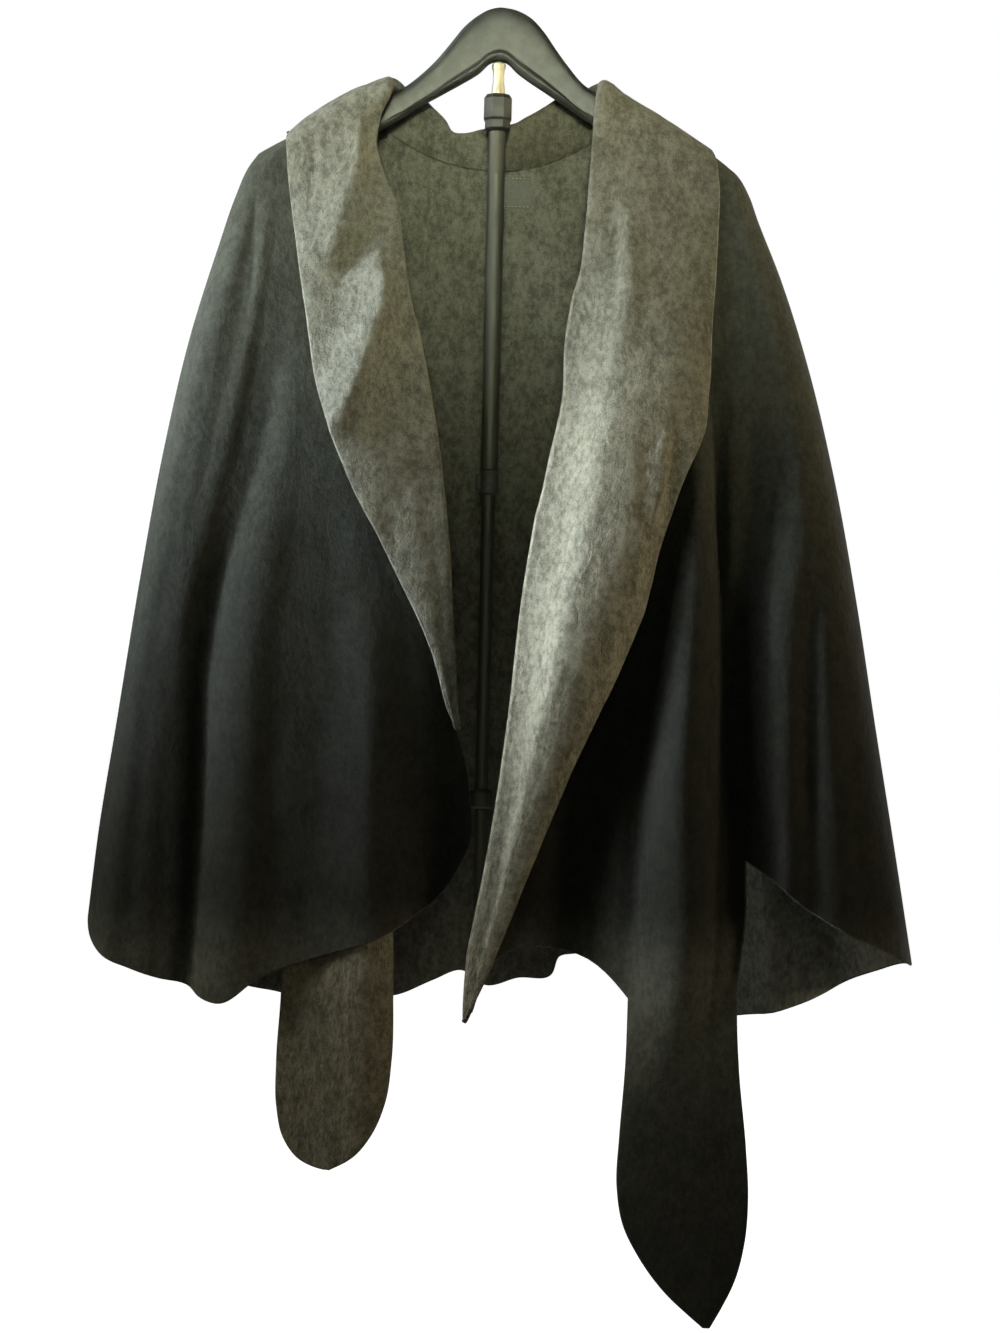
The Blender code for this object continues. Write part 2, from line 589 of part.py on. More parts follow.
def make_collar(name, side_sign, edge_points, edge_normals, shares, front, free_edge):
    """Half a shawl collar. It hooks round the panels' edge, stands above it, rolls over and lies
    outside."""
    visible, hidden = [], []
    for i, share in enumerate(shares):
        place, normal = edge_points[i], edge_normals[i]
        before, after = edge_points[max(i - 1, 0)], edge_points[min(i + 1, len(shares) - 1)]
        off = np.cross(normal, after - before) * side_sign
        off /= np.linalg.norm(off)
        rolled = collar_roll(share, place, normal, off)
        fallen = collar_fall(share, place, normal, front, free_edge)
        hidden.append(rolled[0] + fallen[0])
        visible.append(rolled[1] + fallen[1])
    visible, hidden = np.array(visible), np.array(hidden)
    visible[-1, :, 0] = hidden[-1, :, 0] = side_sign * SEAM_GAP / 2
    faces = grid_faces(*visible.shape[:2])
    add_wall(name, visible.reshape(-1, 3), hidden.reshape(-1, 3), faces, "grey_wool")


def make_collars(front_right, front_left, back):
    back_points, back_normals, neck = back
    middle = len(neck) // 2
    right, left = (neck[: middle + 1], RIGHT_COLLAR_END), (neck[middle:][::-1], 1.0)
    halves = [
        ("collar_right", -1, front_right, "front_right", RIGHT_COLLAR_EDGE, right),
        ("collar_left", 1, front_left, "front_left", LEFT_COLLAR_EDGE, left),
    ]
    for name, side_sign, (points, normals), front, free_edge, (columns, end) in halves:
        rows = [j for j, share in enumerate(ROWS) if share <= end][::-1]
        edge_points = [points[j, 0] for j in rows] + [back_points[0, i] for i in columns[1:]]
        edge_normals = [normals[j, 0] for j in rows] + [back_normals[0, i] for i in columns[1:]]
        lengths = [0.0]
        for a, b in zip(edge_points[len(rows) - 1 :], edge_points[len(rows) :]):
            lengths.append(lengths[-1] + np.linalg.norm(b - a))
        shares = [-ROWS[j] / end for j in rows] + [length / lengths[-1] for length in lengths[1:]]
        make_collar(name, side_sign, edge_points, edge_normals, shares, front, Line(free_edge))


def make_hanger():
    """A bar along x whose rounded section follows the stations' edges and thickness."""
    points, faces = [], []
    for x, high, low, thickness in HANGER:
        for k in range(HANGER_SIDES):
            turn = 2 * math.pi * (k + 0.5) / HANGER_SIDES
            across, up = math.cos(turn), math.sin(turn)
            y = math.copysign(abs(across) ** HANGER_ROUNDNESS, across) * thickness / 2
            rise = math.copysign(abs(up) ** HANGER_ROUNDNESS, up) * (high - low) / 2
            points.append((x, y, (high + low) / 2 + rise))
    for j in range(len(HANGER) - 1):
        for k in range(HANGER_SIDES):
            a, b = j * HANGER_SIDES + k, j * HANGER_SIDES + (k + 1) % HANGER_SIDES
            faces.append((a, b, b + HANGER_SIDES, a + HANGER_SIDES))
    faces.append(tuple(range(HANGER_SIDES)))
    faces.append(tuple(range(len(points) - HANGER_SIDES, len(points))))
    add_object("hanger", points, faces, "hanger_plastic")


def add_turned(name, profile, material, sides=ROUND_SIDES):
    """A solid turned about the pole's axis from its (radius, z) profile."""
    points, faces = [], []
    for radius, z in profile:
        for k in range(sides):
            turn = 2 * math.pi * (k + 0.5) / sides
            points.append((radius * math.cos(turn), radius * math.sin(turn), z))
    for j in range(len(profile) - 1):
        for k in range(sides):
            a, b = j * sides + k, j * sides + (k + 1) % sides
            faces.append((a, b, b + sides, a + sides))
    faces.append(tuple(range(sides)))
    faces.append(tuple(range(len(points) - sides, len(points))))
    return add_object(name, points, faces, material)


def make_pole():
    for name, profile in POLE.items():
        add_turned(name, profile, "brass" if name == "pole_tip" else "pole_metal")
    add_turned("pole_socket", SOCKET, "socket_plastic", SOCKET_SIDES)
    clamp = add_turned("pole_clamp", [(CLAMP_RADIUS, z) for z in CLAMP_HEIGHTS], "socket_plastic")
    bpy.ops.mesh.primitive_cube_add(size=MM)
    lug = bpy.context.object
    lug.name = "clamp_lug"
    lug.scale = CLAMP_LUG
    lug.location = (-CLAMP_RADIUS * MM, 0, sum(CLAMP_HEIGHTS) / 2 * MM)
    lug.hide_render = True
    lug.display_type = "WIRE"
    join = clamp.modifiers.new("lug", "BOOLEAN")
    join.operation = "UNION"
    join.object = lug


def make_materials():
    made = {}
    for name, (colour, roughness, metallic) in COLOURS.items():
        material = bpy.data.materials.new(name)
        material.use_nodes = True
        shader = material.node_tree.nodes["Principled BSDF"]
        shader.inputs["Base Color"].default_value = (*colour, 1)
        shader.inputs["Roughness"].default_value = roughness
        shader.inputs["Metallic"].default_value = metallic
        made[name] = material
    return made


for leftover in list(bpy.data.objects):
    bpy.data.objects.remove(leftover)
MATERIALS = make_materials()
make_hanger()
make_pole()
right_front = make_front_right()
left_front = make_front_left()
back_panel = make_back()
make_collars(right_front, left_front, back_panel)
make_right_tail()
make_label()
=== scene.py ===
import math

import bpy
import numpy as np
from mathutils import Matrix, Vector


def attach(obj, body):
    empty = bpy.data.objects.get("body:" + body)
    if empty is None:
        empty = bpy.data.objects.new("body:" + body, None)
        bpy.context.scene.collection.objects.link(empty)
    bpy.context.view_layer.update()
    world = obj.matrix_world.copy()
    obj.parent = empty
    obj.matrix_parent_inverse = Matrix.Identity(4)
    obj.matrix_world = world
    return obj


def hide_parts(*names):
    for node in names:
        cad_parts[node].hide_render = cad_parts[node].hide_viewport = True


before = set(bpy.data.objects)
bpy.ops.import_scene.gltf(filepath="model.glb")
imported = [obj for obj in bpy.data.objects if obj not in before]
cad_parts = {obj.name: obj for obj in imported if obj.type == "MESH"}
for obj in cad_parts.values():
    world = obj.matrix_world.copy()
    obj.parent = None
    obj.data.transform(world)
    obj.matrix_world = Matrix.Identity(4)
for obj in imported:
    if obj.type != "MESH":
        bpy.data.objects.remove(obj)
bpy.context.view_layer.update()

MM = 0.001

# The cloth and the gaps between pieces
WALL = 2.5
SEAM_GAP = 0.01
COLLAR_LAP = 4.0
SHOULDER_RADIUS = 20.0
RIM_STEPS = 4
SHARP_ANGLE, HARD_SHARP_ANGLE = 60.0, 30.0
OUTLINE_SAMPLES = 400
TINY = 1e-9

# Outlines of the cloth, (x, z)
RIGHT_SHOULDER = [(-110, 771), (-155, 745), (-200, 719), (-219, 709)]
LEFT_SHOULDER = [(105, 773), (155, 743), (205, 712), (214, 706)]
NECK_PEAK = [(-45, 808), (0, 822), (45, 808)]
RIGHT_SIDE = [
    (-219, 709), (-229, 693), (-239, 668), (-254, 620), (-277, 540),
    (-299, 435), (-318, 315), (-336, 185), (-350, 85), (-358, 5),
]
LEFT_SIDE = [
    (214, 706), (221, 699), (233, 679), (241, 658), (263, 605),
    (291, 522), (317, 422), (340, 310), (360, 197), (380, 87), (399, -21),
]
RIGHT_FRONT_EDGE = [
    (-110, 771), (-112, 751), (-115, 717), (-110, 680), (-101, 650), (-93, 616), (-84, 570),
    (-72, 517), (-58, 445), (-46, 355), (-37, 256), (-26, 195), (-14, 150), (-8, 110),
]
LEFT_FRONT_EDGE = [
    (105, 773), (103, 751), (101, 713), (99, 676), (97, 639), (93, 604), (85, 556),
    (80, 497), (67, 415), (53, 312), (37, 196), (19, 67), (-4, -66),
]
RIGHT_FRONT_HEM = [
    (-8, 110), (-9, 86), (-19, 61), (-34, 38), (-55, 20), (-81, 3), (-132, -15), (-190, -36),
    (-232, -61), (-246, -57), (-258, -47), (-284, -41), (-313, -32), (-338, -22), (-352, -9), (-358, 5),
]
LEFT_FRONT_HEM = [
    (-4, -66), (4, -42), (21, -14), (48, -5), (74, -8), (100, -17), (125, -37), (136, -50),
]
TAIL_ROOT = [(136, -50), (238, 75)]
LEFT_SIDE_HEM = [(238, 75), (252, 66), (292, 35), (334, 11), (368, -4), (386, -13), (399, -21)]
BACK_NECK = [
    (-110, 771), (-108, 761), (-103, 750), (-94, 740), (-78, 730), (-55, 720), (-28, 713), (0, 711),
    (28, 713), (54, 721), (76, 732), (91, 743), (99, 753), (103, 763), (105, 773),
]
BACK_HEM = [
    (-358, 5), (-357, -13), (-348, -29), (-317, -46), (-262, -61), (-200, -70), (-130, -77), (-76, -73),
    (-42, -56), (-15, -46), (8, -60), (38, -54), (70, -49), (78, -30), (93, -26), (117, -37), (146, -63),
    (193, -82), (245, -84), (296, -73), (332, -61), (362, -42), (380, -33), (399, -21),
]
LEFT_TAIL_INNER_EDGE = [
    (136, -50), (135, -102), (131, -170), (130, -217), (136, -249),
    (151, -278), (174, -308), (197, -329), (209, -339),
]
LEFT_TAIL_OUTER_EDGE = [
    (238, 75), (238, 24), (231, -50), (234, -109), (242, -180),
    (245, -224), (243, -262), (235, -297), (224, -321), (214, -339),
]
RIGHT_TAIL_OUTER_EDGE = [
    (-175, 45), (-173, -52), (-176, -115), (-175, -155),
    (-168, -184), (-154, -202), (-138, -209), (-133, -210),
]
RIGHT_TAIL_INNER_EDGE = [
    (-77, 45), (-74, -50), (-74, -110), (-79, -149),
    (-91, -178), (-108, -198), (-122, -207), (-128, -210),
]
RIGHT_COLLAR_EDGE = [
    (-190, 726), (-190, 709), (-187, 679), (-182, 645), (-176, 608), (-169, 567),
    (-156, 495), (-126, 410), (-84, 331), (-46, 252), (-33, 205),
]
LEFT_COLLAR_EDGE = [
    (194, 719), (199, 699), (201, 632), (198, 576), (193, 485), (175, 399),
    (150, 318), (121, 242), (83, 157), (48, 68), (23, 1), (7, -38), (-3, -60), (-10, -75),
]
COLLAR_BACK_DROP = 600.0

# How far each panel stands off the plane of the hanger at these heights, and how round its sides are:
# (heights, radii)
DEPTH_HEIGHTS = (-60, 0, 150, 300, 450, 600, 700, 770)
DEPTHS = {
    "front_right": (82, 78, 68, 60, 54, 46, 32, 22),
    "front_left": (80, 78, 72, 66, 60, 48, 34, 22),
    "back": (88, 84, 76, 68, 60, 53, 40, 24),
}
SIDE_RADII = (-60, 150, 400, 700), (70, 60, 45, 22)

# Folds: where the crest runs, (x, z) from its start down, then its half width and its rise at both ends
FOLD_ONSET = 0.125
FOLDS = {
    "front_right": [
        ([(-205, 670), (-217, 560), (-230, 470), (-250, 380), (-270, 280)], (12, 18), (2.5, 1.5)),
        ([(-165, 600), (-185, 430), (-212, 220), (-215, -50)], (22, 40), (0, 6)),
        ([(-250, 600), (-296, 380), (-322, 200), (-338, -10)], (16, 30), (1, 11)),
        ([(-120, 420), (-100, 200), (-100, 0)], (30, 60), (0, 10)),
        ([(-20, 330), (-2, 150), (-10, 40)], (50, 75), (0, -24)),
    ],
    "front_left": [
        ([(192, 520), (182, 330), (176, 150), (184, -50)], (20, 50), (4, 24)),
        ([(236, 500), (234, 400), (230, 250), (232, 80)], (24, 18), (-3, -12)),
        ([(280, 480), (268, 260), (272, 60)], (26, 34), (2, 9)),
        ([(300, 400), (290, 260), (288, 60)], (14, 18), (0, -3)),
        ([(318, 420), (310, 220), (320, 20)], (18, 28), (0, 5)),
        ([(120, 380), (92, 150), (90, 0)], (32, 48), (0, -22)),
    ],
    "back": [
        ([(-160, 560), (-215, 250), (-250, -60)], (26, 46), (2, 20)),
        ([(-110, 420), (-140, 200), (-160, -70)], (22, 36), (0, -14)),
        ([(-45, 500), (-70, 250), (-90, -70)], (26, 44), (0, 18)),
        ([(30, 440), (38, 200), (40, -50)], (24, 38), (0, 16)),
        ([(75, 420), (95, 200), (105, -20)], (22, 34), (0, -14)),
        ([(130, 540), (175, 250), (200, -80)], (26, 46), (2, 20)),
        ([(205, 470), (260, 230), (290, -70)], (24, 38), (0, -12)),
        ([(230, 500), (300, 240), (340, -50)], (18, 30), (0, 12)),
    ],
}

# Pleats: which side of the line is high, how wide the low and the high side are, and the line itself,
# (x, z, height) running down. Offsets and shape are the section across it, low side first
PLEAT_OFFSETS = (-60, -36, -14, -4, 4, 12, 24, 40, 70, 130)
PLEAT_SHAPE = (0, -0.25, -0.75, -1, -0.42, 0.03, 0.36, 0.5, 0.38, 0)
PLEATS = {
    "front_right": [
        (1, (0.4, 0.5), [
            (-216, 690, 0), (-216, 650, 2), (-215, 610, 2.5), (-219, 560, 1.5), (-225, 510, 0),
        ]),
        (1, (1.32, 1), [
            (-180, 600, 0), (-186, 536, 1), (-193, 486, 2), (-202, 435, 3), (-218, 375, 5),
            (-231, 325, 8), (-240, 271, 9.5), (-245, 215, 11), (-246, 104, 11.5), (-250, -7, 11),
            (-254, -55, 10),
        ]),
    ],
    "front_left": [
        (1, (1, 0.8), [
            (178, 430, 0), (176, 397, 3), (162, 319, 6), (152, 269, 7), (148, 225, 8), (147, 170, 8),
            (144, 115, 8), (143, 59, 8), (139, 4, 8), (136, -60, 6),
        ]),
        (-1, (0.45, 0.5), [
            (192, 530, 0), (197, 470, 5), (202, 414, 9), (205, 364, 11), (211, 282, 12), (213, 227, 12),
            (213, 171, 11), (213, 116, 9), (211, 72, 7),
        ]),
        (1, (0.6, 0.8), [
            (268, 520, 0), (263, 425, 3), (256, 357, 5), (246, 294, 6.5), (243, 227, 7), (246, 172, 9),
            (252, 117, 12), (257, 80, 13),
        ]),
        (1, (0.5, 0.6), [
            (302, 330, 0), (298, 312, 0.8), (291, 267, 1.2), (289, 228, 1.2), (292, 173, 1.2),
            (297, 129, 1), (300, 80, 0),
        ]),
    ],
    "back": [
        (1, (0.6, 0.8), [
            (-236, 540, 0), (-246, 430, 5), (-258, 320, 9), (-272, 200, 12), (-284, 80, 13),
            (-292, -50, 12),
        ]),
        (-1, (0.7, 0.9), [
            (-112, 480, 0), (-122, 390, 4), (-136, 280, 8), (-148, 160, 11), (-158, 40, 12),
            (-164, -60, 11),
        ]),
        (1, (0.6, 0.9), [
            (64, 430, 0), (68, 340, 4), (76, 250, 8), (84, 140, 10), (88, 20, 10), (90, -30, 9),
        ]),
        (-1, (0.6, 0.8), [
            (214, 520, 0), (224, 400, 5), (238, 290, 9), (252, 170, 12), (264, 60, 12), (274, -60, 11),
        ]),
    ],
}

# Creases: the width of the flank on either side, and the line, (x, z, rise) running down
CREASES = {
    "front_right": [
        ((60, 60), [(-106, 330, 0), (-104, 274, 3), (-99, 163, 5), (-99, 53, 5), (-90, 5, 4)]),
    ],
    "front_left": [],
    "back": [
        ((26, 44), [(-172, 690, 0), (-150, 640, 3), (-112, 590, 4), (-66, 556, 2), (-30, 540, 0)]),
        ((44, 26), [(176, 672, 0), (150, 622, 3), (116, 570, 4), (84, 532, 2), (60, 500, 0)]),
        ((20, 34), [(-205, 640, 0), (-214, 560, 3), (-216, 470, 4), (-210, 400, 0)]),
        ((30, 18), [(226, 610, 0), (232, 540, 3), (226, 450, 4), (214, 390, 0)]),
    ],
    "collar_right": [
        ((34, 44), [
            (-120, 740, 0), (-120, 725, 6), (-127, 690, 10), (-134, 658, 10), (-141, 633, 8),
            (-150, 591, 2),
        ]),
        ((20, 22), [
            (-160, 590, -1), (-150, 592, -3), (-134, 597, -6), (-118, 617, -8), (-102, 632, -8),
            (-88, 644, -3),
        ]),
        ((40, 42), [
            (-90, 634, 4), (-94, 584, 12), (-104, 553, 14), (-113, 523, 14), (-129, 476, 12),
            (-146, 448, 6), (-156, 428, 0),
        ]),
        ((6, 6), [(-167, 735, 0), (-166, 715, -2), (-165, 690, -2), (-165, 665, 0)]),
    ],
    "collar_left": [
        ((10, 9), [(100, 700, 0), (101, 680, -3), (106, 627, -4), (112, 568, 0)]),
        ((9, 14), [(118, 660, 0), (120, 634, 3), (122, 574, 3), (122, 540, 0)]),
    ],
}
CREASE_ROUNDING = 4.0
CREASE_SAMPLES = 24

# Where the coarse grid has its rows and columns, and how many cells each of its cells is cut into
ROWS = (0, 0.004, 0.01, 0.02, 0.034, 0.055, 0.085, 0.125, 0.175, 0.235, 0.30, 0.37,
        0.44, 0.51, 0.58, 0.65, 0.72, 0.79, 0.84, 0.885, 0.93, 0.967, 1)
TOWARDS_SIDE = (0, 0.12, 0.24, 0.35, 0.45, 0.55, 0.65, 0.74, 0.82, 0.89, 0.945, 0.982, 1)
RIGHT_FRONT_COLUMNS = (0, 0.06, 0.12, 0.18, 0.24, 0.30, 0.36, 0.42, 0.48, 0.54, 0.60, 0.65, 0.69,
                       0.73, 0.77, 0.81, 0.85, 0.89, 0.93, 0.965, 0.988, 1)
BACK_SHOULDER_COLUMNS = (0, 0.03, 0.09, 0.19, 0.31, 0.45, 0.60, 0.75, 0.88, 1)
BACK_NECK_COLUMNS = (0, 0.01, 0.03, 0.06, 0.10, 0.15, 0.21, 0.30, 0.42, 0.56, 0.71, 0.86, 1)
BACK_HEM_COLUMNS = (0, 0.012, 0.035, 0.065, 0.10, 0.14, 0.18, 0.21, 0.24, 0.262, 0.282, 0.302,
                    0.322, 0.342, 0.362, 0.382, 0.402, 0.422, 0.442, 0.461, 0.48, 0.5)
ROW_CELLS = 10
COLUMN_CELLS = 5
BACK_COLUMN_CELLS = 5
BEFORE_TAIL_COLUMNS, BEFORE_TAIL_CELLS = (0, 0.15, 0.5, 1), 10
LEFT_TAIL_CELLS = (40, 90)
RIGHT_TAIL_CELLS = (36, 84)

# The tails
LEFT_TAIL_DEPTH = (92.0, 86.0)
LEFT_TAIL_CROWN = 8.0
LEFT_TAIL_SETTLING = 0.4
RIGHT_TAIL_TOP = 45.0
RIGHT_TAIL_INSET = 1.5
RIGHT_TAIL_SWING = 8.0
RIGHT_TAIL_CROWN = 20.0

# The collar's halves: the side of x, the front that each is sewn to and how far down, its free edge, and
# its forms, (shares of its length, values), from -1 at its low end by 0 at the shoulder to 1 behind
COLLARS = {
    "collar_right": {
        "name": "right_collar_cloth", "side": -1, "front": "front_right", "end": 0.885,
        "edge": RIGHT_COLLAR_EDGE,
        "stand": (
            (-1, -0.95, -0.87, -0.7, -0.54, -0.41, -0.34, -0.26, -0.20, -0.14, -0.09, -0.05, -0.01,
             0.12, 0.36, 0.5, 0.6, 0.69, 0.76, 0.88, 1),
            (0.6, 3, 7, 7.5, 7.5, 7.5, 5.5, 7, 9.5, 5, 1, 1.5, 9, 20, 33, 30, 26, 18, 20, 26, 30),
        ),
        "puff": ((-1, -0.85, -0.4, -0.1, 0, 0.3, 1), (0.3, 1.5, 5, 6, 6.5, 7, 7)),
        "tilt": ((-1, -0.9, -0.7, -0.5, -0.3, -0.15, 1), (0, 3, 9, 11, 7, 0, 0)),
    },
    "collar_left": {
        "name": "left_collar_cloth", "side": 1, "front": "front_left", "end": 1.0,
        "edge": LEFT_COLLAR_EDGE,
        "stand": (
            (-1, -0.985, -0.965, -0.93, -0.8, -0.7, -0.6, -0.54, -0.48, -0.44, -0.4, -0.35, -0.29,
             -0.24, -0.2, -0.16, -0.1, 0, 0.12, 0.25, 0.43, 0.73, 0.89, 1),
            (0.5, 3, 6, 9.5, 8.5, 9.5, 13.5, 15, 14.5, 11.5, 10.5, 9, 12.5, 12, 9.5, 10.5, 10, 9,
             20, 32, 40, 36.5, 32, 30),
        ),
        "puff": ((-1, -0.85, -0.4, -0.1, 0, 0.3, 1), (0.3, 1.5, 5, 2, 0.3, 5, 7)),
        "roll": ((-1, -0.9, -0.75, -0.6, -0.4, -0.3, -0.15, -0.05, 1), (0, 8, 20, 26, 26, 20, 9, 0, 0)),
        "drop": ((-1, -0.96, -0.92, 1), (7, 2, 0, 0)),
        "narrowing": ((-1, -0.99, -0.98, -0.96, 1), (0.6, 0.25, 0.1, 0, 0)),
    },
}
COLLAR_CLEARANCE = (-1, -0.1, 0, 0.3, 0.5, 1), (1.4, 1.6, 1.8, 2.4, 1.8, 1.6)
COLLAR_SPAN = (-1, -0.92, -0.75, 1), (0.2, 0.5, 1, 1)
ROLL_GAP = (-1, -0.1, -0.05, 0, 0.3, 0.5, 1), (0.5, 0.5, 0.8, 1, 1, 0.6, 0.5)
ROLL_SWELL = (-1, -0.9, -0.1, 0, 0.3, 1), (0, 0.5, 0.7, 1.6, 1.6, 1)
# Across the fall, from the top of the roll (0) to the free edge (1)
COLLAR_ROLL = (0, 0.14, 0.26, 0.34, 0.44, 0.8, 1), (0, 0.56, 0.93, 1, 1, 0.85, 0.4)
COLLAR_STEPS = (0.09, 0.155, 0.22, 0.29, 0.36, 0.43, 0.50, 0.57, 0.64, 0.71, 0.78, 0.84, 0.90, 0.95, 1.0)
COLLAR_ROLL_ANGLES = (-90, -60, -30, 0, 30, 60, 90)
ROLL_RADIUS = 1.5
COLLAR_CELLS = 3
COLLAR_FULL_WIDTH = 60.0
COLLAR_SPAN_START = 0.3
COLLAR_TIP_WAY = (0.7, 0.0, 1.0)
COLLAR_BACK_TURN = 1.5
COLLAR_PUFF_START, COLLAR_PUFF_POWER = 0.1, 0.8
COLLAR_BLUR = 5.0
NORMAL_STEP = 4.0

# Unevenness of the cloth: size in millimetres, height, seed
PANEL_UNEVEN = [(70.0, 1.2, 11), (28.0, 0.4, 12)]
COLLAR_UNEVEN = [(42.0, 0.9, 21), (16.0, 0.3, 22), (7.0, 0.14, 23)]
COLLAR_BACK_SHIFT = 400.0
NOISE_LATTICE = 64

# The label, bare
LABEL_SIZE = (27.0, 29.0)
LABEL_THICKNESS = 1.0
LABEL_PLACE = (19.0, 686.0)
LABEL_GAP = 0.6
LABEL_CELLS = 24
STITCH_SIZE = (2.2, 0.7, 0.7)
STITCHES_ACROSS = 7
STITCH_INSET = 1.6

# Hanger stations: x, upper edge, lower edge, thickness
HANGER = [
    (-211, 707, 701, 8), (-208, 711.3, 696, 12), (-200, 715.7, 692, 14), (-170, 731, 704, 14),
    (-140, 745.5, 718, 13), (-112, 759.5, 731, 12), (-84, 774.5, 748, 12), (-70, 786, 757.5, 12),
    (-58, 798, 764, 12), (-45, 814, 771.5, 12), (-32, 830.5, 779, 12), (-18, 842, 788, 12),
    (-6, 847.5, 798.4, 12), (0, 848.5, 799.5, 12), (6, 848, 798.4, 12), (17, 845.5, 789, 12),
    (29, 839, 780.5, 12), (41, 826.5, 773, 12), (52, 811, 766, 12), (63, 796.5, 759, 12),
    (78, 779.5, 749, 12), (106, 763.2, 734, 12), (134, 747.6, 719, 13), (164, 731, 704, 14),
    (196, 713.4, 690, 14), (204, 707.7, 692, 12), (207, 704, 698, 8),
]
HANGER_SIDES = 48
HANGER_ROUNDNESS = 0.5
HANGER_CELLS = 4
HANGER_LIP = (-120, -75, 75, 120), (0, 1.8, 1.8, 0)
HANGER_LIP_START = -0.72

# Pole stages, (radius, z) from the lower end of each
POLE = {
    "pole_lower": [(4.2, 0), (4.8, 0.6), (4.8, 111.1), (4.2, 111.7)],
    "pole_joint": [(8.5, 112), (10.5, 114), (10.5, 126), (8.5, 129)],
    "pole_middle": [(5.4, 129.3), (6.0, 129.9), (6.0, 400.1), (5.4, 400.7)],
    "pole_upper": [(7.2, 423.3), (7.8, 423.9), (7.8, 734.1), (7.2, 734.7)],
    "pole_tip": [
        (6.4, 768.3), (6.4, 771), (5.8, 775), (5.2, 780), (5.2, 787), (5.6, 791), (6.3, 792.5), (6.3, 796),
        (5.0, 797.5), (2.0, 798.8),
    ],
}
SOCKET = [(10.0, 735), (12.5, 737), (12.5, 744), (13.8, 746), (13.8, 764), (11.0, 768)]
SOCKET_SIDES = 8
CLAMP_RADIUS, CLAMP_CHAMFER, CLAMP_HEIGHTS = 8.8, 1.0, (401.0, 423.0)
CLAMP_LUG = (7.0, 9.0, 14.0)
BLOCK_SIDES, BLOCK_ROUNDNESS, BLOCK_CHAMFER = 32, 0.35, 0.88
ROUND_SIDES = 64

# Felted wool: (scale, detail, roughness) of each layer of noise, its share in the relief and in the
# fleck; colours; and tones of painted light and shade, rows of (height in metres, gain)
FELT = [((72, 3, 0.55), 0.5, 0.3), ((210, 3, 0.6), 0.35, 0.4), ((1100, 2, 0.5), 0.15, 0.3)]
FELT_BUMP, FELT_RANGE, FELT_ROUGHNESS, SHEEN_ROUGHNESS = 0.9, (0.37, 0.63), 0.95, 0.5
BLACK_SHINE, GREY_SHINE = (0.1, 0.03, (0.9, 0.9, 0.8, 1)), (0.15, 0.08, (1, 0.98, 0.88, 1))
WOOL_STRETCH = (1.0, 1.0, 0.72)
BLACK_RELIEF, GREY_RELIEF = 0.0025, 0.0065
# Painted light: the black is lightened from BLACK_LOW at the first of these heights to BLACK_HIGH at the
# second, towards the shoulders
BLACK_LOW, BLACK_HIGH = (0.018, 0.0175, 0.0138), (0.062, 0.063, 0.05)
PAINTED_TOP_LIGHT_HEIGHTS = (0.1, 0.72)
FLECK_GAIN = 0.3
# Painted light and shade on the black by height: much lighter about the hem, less so down the tails, darker
# from above the hem to mid height
BLACK_PAINTED_LIGHT_TONES = ((-0.3, 1.2), (-0.2, 1.6), (-0.05, 3.2), (0.04, 0.8), (0.3, 0.68), (0.5, 0.87), (0.75, 0.97))
# The tones of these greys are painted light and shade by height: the grey wool lighter at the top, the left
# collar's wool lighter at mid height and darker above it, the grey edge darker low down
GREYS = {
    "grey_wool_cloth": ((0.09, 0.086, 0.067), (0.215, 0.209, 0.171), ((0.66, 1), (0.74, 1.1))),
    # The left collar's own copy of the grey, a little warmer, with painted light and shade by height
    "left_collar_painted_light_wool": (
        (0.094, 0.087, 0.062), (0.225, 0.209, 0.16),
        ((-0.1, 0.95), (0.12, 0.9), (0.3, 1.1), (0.42, 1.1), (0.56, 0.75), (0.7, 0.68), (0.77, 0.95)),
    ),
    # A darker, warmer copy of the grey for the right tail: painted shade and painted warm light low down
    "tail_painted_warm_shade_wool": ((0.082, 0.072, 0.048), (0.195, 0.174, 0.125), ()),
    "cut_edge_wool": ((0.03, 0.029, 0.023), (0.08, 0.077, 0.061), ()),
    "grey_edge_wool": ((0.12, 0.116, 0.088), (0.26, 0.252, 0.2), ((0.15, 0.5), (0.35, 0.62), (0.5, 1))),
}
# Colour and roughness, and for a metal how metallic it is
PLASTICS = {
    "label_thread": ((0.2, 0.19, 0.15), 0.8),
    "hanger_moulding": ((0.018, 0.019, 0.0155), 0.42),
    "socket_moulding": ((0.02, 0.021, 0.017), 0.5),
    "clamp_moulding": ((0.045, 0.046, 0.038), 0.6),
}
METALS = {"pole_steel": ((0.16, 0.157, 0.13), 0.6, 0.8), "tip_brass": ((0.78, 0.7, 0.52), 0.5, 0.7)}
# Their wear: noise as (scale, detail, roughness, stretch), the range of it that shows, gains of colour
# and roughness at both ends of that range, and relief as (strength, depth in metres)
SCUFFS, SCUFF_RANGE, SCUFF_GAIN, SCUFF_LIFT = (60.0, 5.0, 0.65), (0.4, 0.62), 1.7, 0.01
PLASTIC_GRAIN, PLASTIC_RELIEF = (700.0, 2.0), (0.15, 0.0003)
BRUSHING, WEAR = (900.0, 2.0, 0.5, (1, 1, 0.03)), (45.0, 4.0, 0.6)
WORN_RANGE, WORN_GAIN, ROUGH_RANGE, ROUGH_GAINS = (0.35, 0.65), 0.7, (0.3, 0.7), (0.8, 1.3)
METAL_RELIEF = (0.1, 0.0002)
WEAVE, WEAVE_RANGE, WEAVE_RELIEF = (1600.0, 1.0, 0.5, (0.3, 1, 1)), (0.35, 0.65), (0.2, 0.0003)
WEAVE_COLOURS = (0.07, 0.07, 0.056), (0.115, 0.115, 0.092)
LABEL_SHINE = {"Roughness": 0.55, "Specular_IOR_Level": 0.4, "Sheen_Weight": 0.1}
FLOOR_CLOUD, FLOOR_COLOURS = (3.0, 3.0), ((0.78, 0.78, 0.77), (0.84, 0.84, 0.83))

